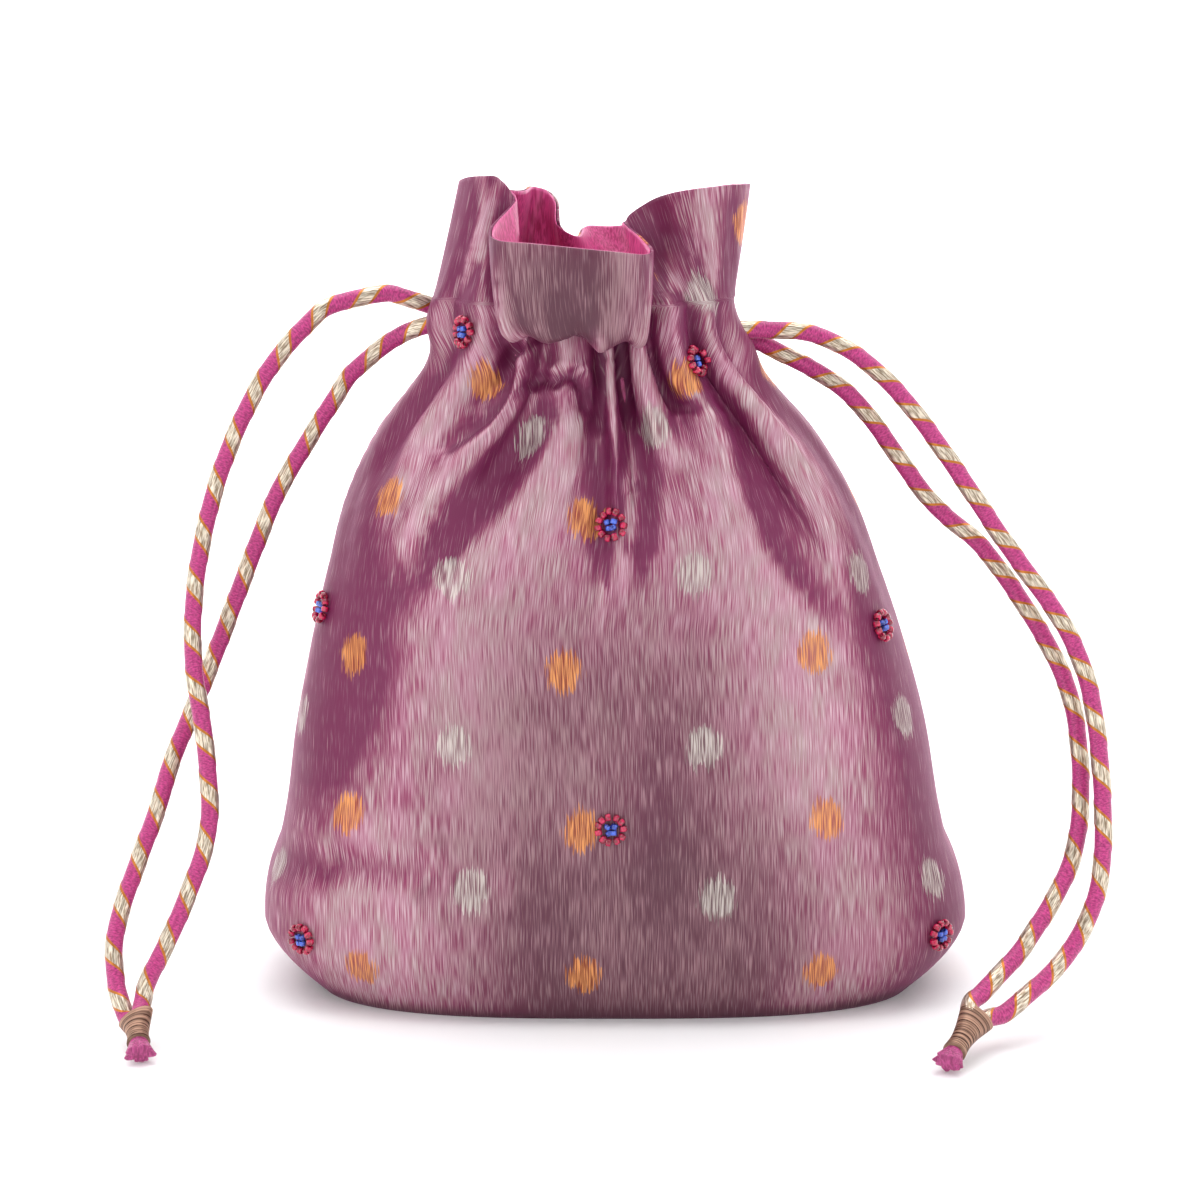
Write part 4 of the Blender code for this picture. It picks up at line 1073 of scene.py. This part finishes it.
def strung(seat, along, facing, size):
    """A bead's place when it is threaded along this direction."""
    side = along.cross(facing).normalized()
    return np.array(seat), np.array([along, side, side.cross(along)]), size


def flower_seat(middle, cloth):
    """The flower's place on the cloth, and the way the cloth faces round it."""
    spot, facing, _, _ = cloth.find_nearest(middle)
    away = facing.normalized()
    spread = [Vector((x, y, z)) * 4 * MM for x in (-1, 0, 1) for y in (-1, 0, 1) for z in (-1, 0, 1)]
    mean = sum((cloth.find_nearest(spot + step)[1] for step in spread), away * 4)
    return spot, mean.normalized()


def seat_on(cloth, place, facing, lift):
    """A bead's middle, this far off the cloth, never far from the flower's
    own plane."""
    hit = cloth.ray_cast(place + facing * 12 * MM, -facing, 30 * MM)[0]
    rise = (hit - place).dot(facing) if hit is not None else 0.0
    return place + facing * (min(max(rise, -1.0 * MM), 1.2 * MM) + lift)


def make_flower(label, number, cloth, ring_look, centre_look):
    """A ring of beads sewn flat on the cloth round four blue ones."""
    spot, facing = flower_seat(Vector(np.mean(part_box(label + "_centre"), axis=0)), cloth)
    rng = np.random.default_rng(100 + number)
    across = Vector((0, 0, 1)).cross(facing).normalized()
    up = facing.cross(across)
    radius = (FLOWER_DIAMETER - BEAD_DIAMETER) / 2
    ring, knot = [], []
    for k in range(RING_BEADS):
        turn = math.tau * (k + rng.uniform(-0.12, 0.12)) / RING_BEADS
        outward = across * math.cos(turn) + up * math.sin(turn)
        along = up * math.cos(turn) - across * math.sin(turn)
        place = spot + outward * radius * rng.uniform(0.95, 1.04)
        seat = seat_on(cloth, place, facing, BEAD_DIAMETER / 2 * 0.96)
        tilt = (along + facing * rng.uniform(-0.15, 0.15)).normalized()
        ring.append(strung(seat, tilt, facing, rng.uniform(0.94, 1.03)))
    for dx, dz in KNOT_PLACES:
        place = spot + (across * dx + up * dz) * MM
        seat = seat_on(cloth, place, facing, BEAD_DIAMETER / 2 * 0.95)
        along = (up + across * rng.uniform(-0.5, 0.5)).normalized()
        knot.append(strung(seat, along, facing, rng.uniform(0.82, 0.92)))
    return bead_set(label + "_beads", ring, ring_look), bead_set(label + "_knot", knot, centre_look)


# Materials
def brocade_material():
    """Shot tissue brocade: magenta silk crossed by fine pale metal threads. It is
    painted pale, with painted glints, where the threads would catch the light,
    and deep magenta where they wouldn't, and painted shade darkens it in places;
    dots of gold and silver zari thread."""
    made, tree, shader = new_material("shot_tissue_brocade")
    uv = node(tree, "UVMap", {}, uv_map="cloth")
    # painted sheen and painted shade, laid on the cloth by its facing
    pale = node(tree, "Attribute", {}, "Fac", attribute_name="pale")
    painted_shade = node(tree, "Attribute", {}, "Fac", attribute_name="painted_shade")
    # a thread is about 0.25 mm; it is drawn a little wider
    streak = cell_noise(tree, uv, per_metre(0.26, 8.0), 1.0)
    bunch = cell_noise(tree, uv, per_metre(2.2, 12.0), 0.0)
    # metal threads show where noise plus the painted sheen passes a level, so the painted sheen shows as
    # more pale thread
    lit = node(tree, "Math", {0: streak, 1: 2.6, 2: pale}, operation="MULTIPLY_ADD")
    lit = node(tree, "Math", {0: bunch, 1: 0.35, 2: lit}, operation="MULTIPLY_ADD")
    thread = node(tree, "MapRange", {"Value": lit, "From Min": 1.575, "From Max": 2.525}, **SMOOTH)
    # the magenta silk is painted lighter where the painted sheen is
    ground = node(tree, "Mix", {0: pale, 6: linear("#6a1344"), 7: linear("#973960")}, **COLOUR)
    # the metal threads look pinker in soft patches, as the silk shows through
    blush = cell_noise(tree, uv, per_metre(7.0, 16.0), 2.0)
    metal_thread = two_tone(tree, blush, 0.30, 0.70, "#aa8c90", "#b27f92")
    # painted glints: single threads are painted brighter than the rest where the painted sheen is strong
    span = {"Value": streak, "From Min": 0.48, "From Max": 0.78, "To Max": 0.55}
    glint = node(tree, "MapRange", span, **SMOOTH)
    glint = node(tree, "Math", {0: glint, 1: pale}, operation="MULTIPLY")
    metal_thread = node(tree, "Mix", {0: glint, 6: metal_thread, 7: linear("#e6d4d8")}, **COLOUR)
    cloth = node(tree, "Mix", {0: thread, 6: ground, 7: metal_thread}, **COLOUR)
    # painted shade: a dull dark colour that stands for shadow and dark reflection
    painted_shade_colour = node(tree, "Mix", {0: thread, 6: linear("#4e2c36"), 7: linear("#8a656b")}, **COLOUR)
    painted_shade = node(tree, "Math", {0: painted_shade, 1: 0.85}, operation="MULTIPLY")
    cloth = node(tree, "Mix", {0: painted_shade, 6: cloth, 7: painted_shade_colour}, **COLOUR)
    # a dot's edge is stepped thread by thread, and its threads lie over the
    # cloth by these shares between them and on them
    ragged = cell_noise(tree, uv, per_metre(0.5, 8.0), 1.0)
    insides = []
    for name, deep, bright, thin, full in (
        ("gold_dot", "#9a4f2a", "#e09a5c", 0.60, 0.95),
        ("silver_dot", "#857a76", "#cfc9c0", 0.40, 0.75),
    ):
        distance = node(tree, "Attribute", {}, "Fac", attribute_name=name)
        edge = node(tree, "Math", {0: ragged, 1: 1.5, 2: distance}, operation="MULTIPLY_ADD")
        span = {"Value": edge, "From Min": 1.61, "From Max": 1.75, "To Min": 1.0, "To Max": 0.0}
        insides.append(node(tree, "MapRange", span, **SMOOTH))
        span = {"Value": streak, "From Min": 0.40, "From Max": 0.60, "To Min": thin, "To Max": full}
        cover = node(tree, "MapRange", span, **SMOOTH)
        cover = node(tree, "Math", {0: insides[-1], 1: cover}, operation="MULTIPLY")
        dotted = two_tone(tree, streak, 0.40, 0.60, deep, bright)
        cloth = node(tree, "Mix", {0: cover, 6: cloth, 7: dotted}, **COLOUR)
    zari = node(tree, "Math", {0: insides[0], 1: insides[1]}, operation="MAXIMUM")
    metal = node(tree, "Math", {0: thread, 1: 0.20, 2: 0.12}, operation="MULTIPLY_ADD")
    dot_metal = node(tree, "Math", {0: zari, 1: 0.7}, operation="MULTIPLY")
    metal = node(tree, "Math", {0: metal, 1: dot_metal}, operation="MAXIMUM")
    rough = node(tree, "Math", {0: thread, 1: -0.08, 2: 0.54}, operation="MULTIPLY_ADD")
    dot_height = node(tree, "Math", {0: zari, 1: 0.25}, operation="MULTIPLY")
    height = node(tree, "Math", {0: streak, 1: bunch}, operation="ADD")
    height = node(tree, "Math", {0: height, 1: 0.6, 2: dot_height}, operation="MULTIPLY_ADD")
    bump = node(tree, "Bump", {"Strength": 0.55, "Distance": 0.18 * MM, "Height": height})
    fill(tree, shader, {"Base Color": cloth, "Metallic": metal, "Roughness": rough, "Normal": bump})
    fill(tree, shader, {"Sheen Weight": 0.35, "Sheen Roughness": 0.35, "Sheen Tint": linear("#9c3a78")})
    return made


def satin_material(name, dark, light, rough):
    """Woven satin: long floats give a soft gloss that changes with the folds."""
    made, tree, shader = new_material(name)
    place = node(tree, "TexCoord", {}, "Object")
    floats = cell_noise(tree, place, per_metre(0.5, 0.5, 5.0), 2.0)
    colour = two_tone(tree, floats, 0.3, 0.7, dark, light)
    bump = node(tree, "Bump", {"Strength": 0.3, "Distance": 0.08 * MM, "Height": floats})
    fill(tree, shader, {"Base Color": colour, "Roughness": rough, "Normal": bump})
    fill(tree, shader, {"Sheen Weight": 0.3, "Sheen Tint": linear("#f08cb8")})
    return made


def wound_material():
    """Satin bias tape with gota ribbon wound over it: the ribbon's weave is
    silver and pale gold metal, with an orange selvedge at both edges."""
    made, tree, shader = new_material("satin_cord_with_gota")
    uv = node(tree, "UVMap", {}, uv_map="cord")
    parts = node(tree, "SeparateXYZ", {"Vector": uv}).node.outputs
    half = GOTA_SHARE / 2
    phase = node(tree, "Math", {0: parts[0], 1: parts[1]}, operation="ADD")
    phase = node(tree, "Math", {0: phase}, operation="FRACT")
    off = node(tree, "Math", {0: phase, 1: half}, operation="SUBTRACT")
    off = node(tree, "Math", {0: off}, operation="ABSOLUTE")
    ribbon = node(tree, "Math", {0: off, 1: half}, operation="LESS_THAN")
    outer = node(tree, "Math", {0: off, 1: half - SELVEDGE}, operation="GREATER_THAN")
    selvedge = node(tree, "Math", {0: ribbon, 1: outer}, operation="MULTIPLY")
    # cells round the cord and along one ribbon turn: the tape's ribs are
    # 1 mm by 0.45 mm and the ribbon's foil 0.36 mm by 3.2 mm
    rib = cell_noise(tree, uv, (16, 32, 1), 2.0)
    foil = cell_noise(tree, uv, (45, 4.5, 1), 2.0)
    satin = two_tone(tree, rib, 0.3, 0.7, "#8a1458", "#c83a84")
    metal = two_tone(tree, foil, 0.35, 0.65, "#8c7862", "#e8dcc8")
    colour = node(tree, "Mix", {0: ribbon, 6: satin, 7: metal}, **COLOUR)
    colour = node(tree, "Mix", {0: selvedge, 6: colour, 7: linear("#b8702c")}, **COLOUR)
    metallic = node(tree, "Math", {0: ribbon, 1: 0.75}, operation="MULTIPLY")
    rough = node(tree, "Math", {0: ribbon, 1: -0.10, 2: 0.45}, operation="MULTIPLY_ADD")
    height = node(tree, "Math", {0: rib, 1: foil}, operation="ADD")
    bump = node(tree, "Bump", {"Strength": 0.6, "Distance": 0.12 * MM, "Height": height})
    fill(tree, shader, {"Base Color": colour, "Metallic": metallic, "Roughness": rough})
    fill(tree, shader, {"Sheen Weight": 0.2, "Normal": bump})
    return made


def thread_material():
    """Thread in close turns: painted highlights where turns lie proud and catch
    the light, and painted shade between them."""
    made, tree, shader = new_material("bronze_metal_thread")
    turns = node(tree, "Attribute", {}, "Fac", attribute_name="turns")
    noise = {"W": turns, "Scale": 0.75, "Detail": 2.0}
    strands = node(tree, "TexNoise", noise, noise_dimensions="1D")
    colour = two_tone(tree, strands, 0.35, 0.65, "#4a2e24", "#b8917a")
    fill(tree, shader, {"Base Color": colour, "Metallic": 0.6, "Roughness": 0.38})
    return made


def bead_material(name, deep, colour):
    """Silver-lined glass seed beads: clear gloss over a glowing colour."""
    made, tree, shader = new_material(name)
    place = node(tree, "TexCoord", {}, "Object")
    spots = node(tree, "TexNoise", {"Vector": place, "Scale": 1 / (1.4 * MM), "Detail": 1.0})
    glass = two_tone(tree, spots, 0.35, 0.65, deep, colour)
    fill(tree, shader, {"Base Color": glass, "Roughness": 0.18, "IOR": 1.52})
    fill(tree, shader, {"Coat Weight": 0.5, "Coat Roughness": 0.06})
    return made


# Build
def stands_for(piece, cad_node):
    """The piece stays with the bag and takes the place of this node."""
    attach(piece, "root")
    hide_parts(cad_node)


bpy.context.scene.view_settings.view_transform = "Standard"
add_camera()
add_studio()

brocade = brocade_material()
satin = satin_material("pink_satin_lining", "#a83068", "#d85494", 0.36)
cord_look = wound_material()
plain_satin = satin_material("magenta_satin_tape", "#7c1c50", "#b84484", 0.42)
metal_thread_look = thread_material()
crimson = bead_material("crimson_glass_beads", "#80102e", "#c8144c")
blue = bead_material("blue_glass_beads", "#1c2c80", "#4668d8")

# Cords first: each free strand is its own piece, and a hidden run joins two.
# For each drawstring: its strands, its binding, and the places round the neck
# and the height of its hidden run
CORD_OFF_CASING = CORD_DIAMETER / 2 + 0.3 * MM
drawstrings = {
    "left": (
        (LEFT_UPPER, "upper"), (LEFT_LOWER, "lower"), LEFT_BINDING,
        np.linspace(0.955, 0.045, 15), NECK_HEIGHT + CORD_OFF_CASING,
    ),
    "right": (
        (RIGHT_OUTER, "outer"), (RIGHT_INNER, "inner"), RIGHT_BINDING,
        np.linspace(0.455, -0.455, 15), NECK_HEIGHT - CORD_OFF_CASING,
    ),
}
for side, (first_strand, second_strand, axis, places, level) in drawstrings.items():
    cad_node = f"drawstring_{side}"
    first, second = first_strand[0], second_strand[0]
    start, end = np.array(axis)
    across = np.subtract(first[-1], second[-1])
    binding = thread_binding(f"thread_binding_{side}", axis, across, metal_thread_look)
    stands_for(binding, f"binding_{side}")
    tuft = cut_end(f"cut_end_{side}", axis, 7 if side == "left" else 8, plain_satin)
    stands_for(tuft, f"cord_end_{side}")
    run = hidden_run(f"hidden_cord_{side}", first[:1], places, level, second[:1], plain_satin)
    stands_for(run, cad_node)
    for route, label in (first_strand, second_strand):
        inside = start + 0.3 * (end - start) + 0.25 * (np.array(route[-1]) - start)
        strand, path, length = wound_cord(f"cord_{side}_{label}", [*route, inside], cord_look)
        stands_for(strand, cad_node)

bag, bag_points = make_bag(brocade)
stands_for(bag, "outer_bag")

lining = make_lining(bag_points, satin)
stands_for(lining, "lining")

shape = bmesh.new()
shape.from_mesh(bag.data)
cloth_tree = BVHTree.FromBMesh(shape)
for number in range(1, 16):
    label = f"bead_flower_{number:02d}"
    ring, knot = make_flower(label, number, cloth_tree, crimson, blue)
    stands_for(ring, label + "_ring")
    stands_for(knot, label + "_centre")
shape.free()
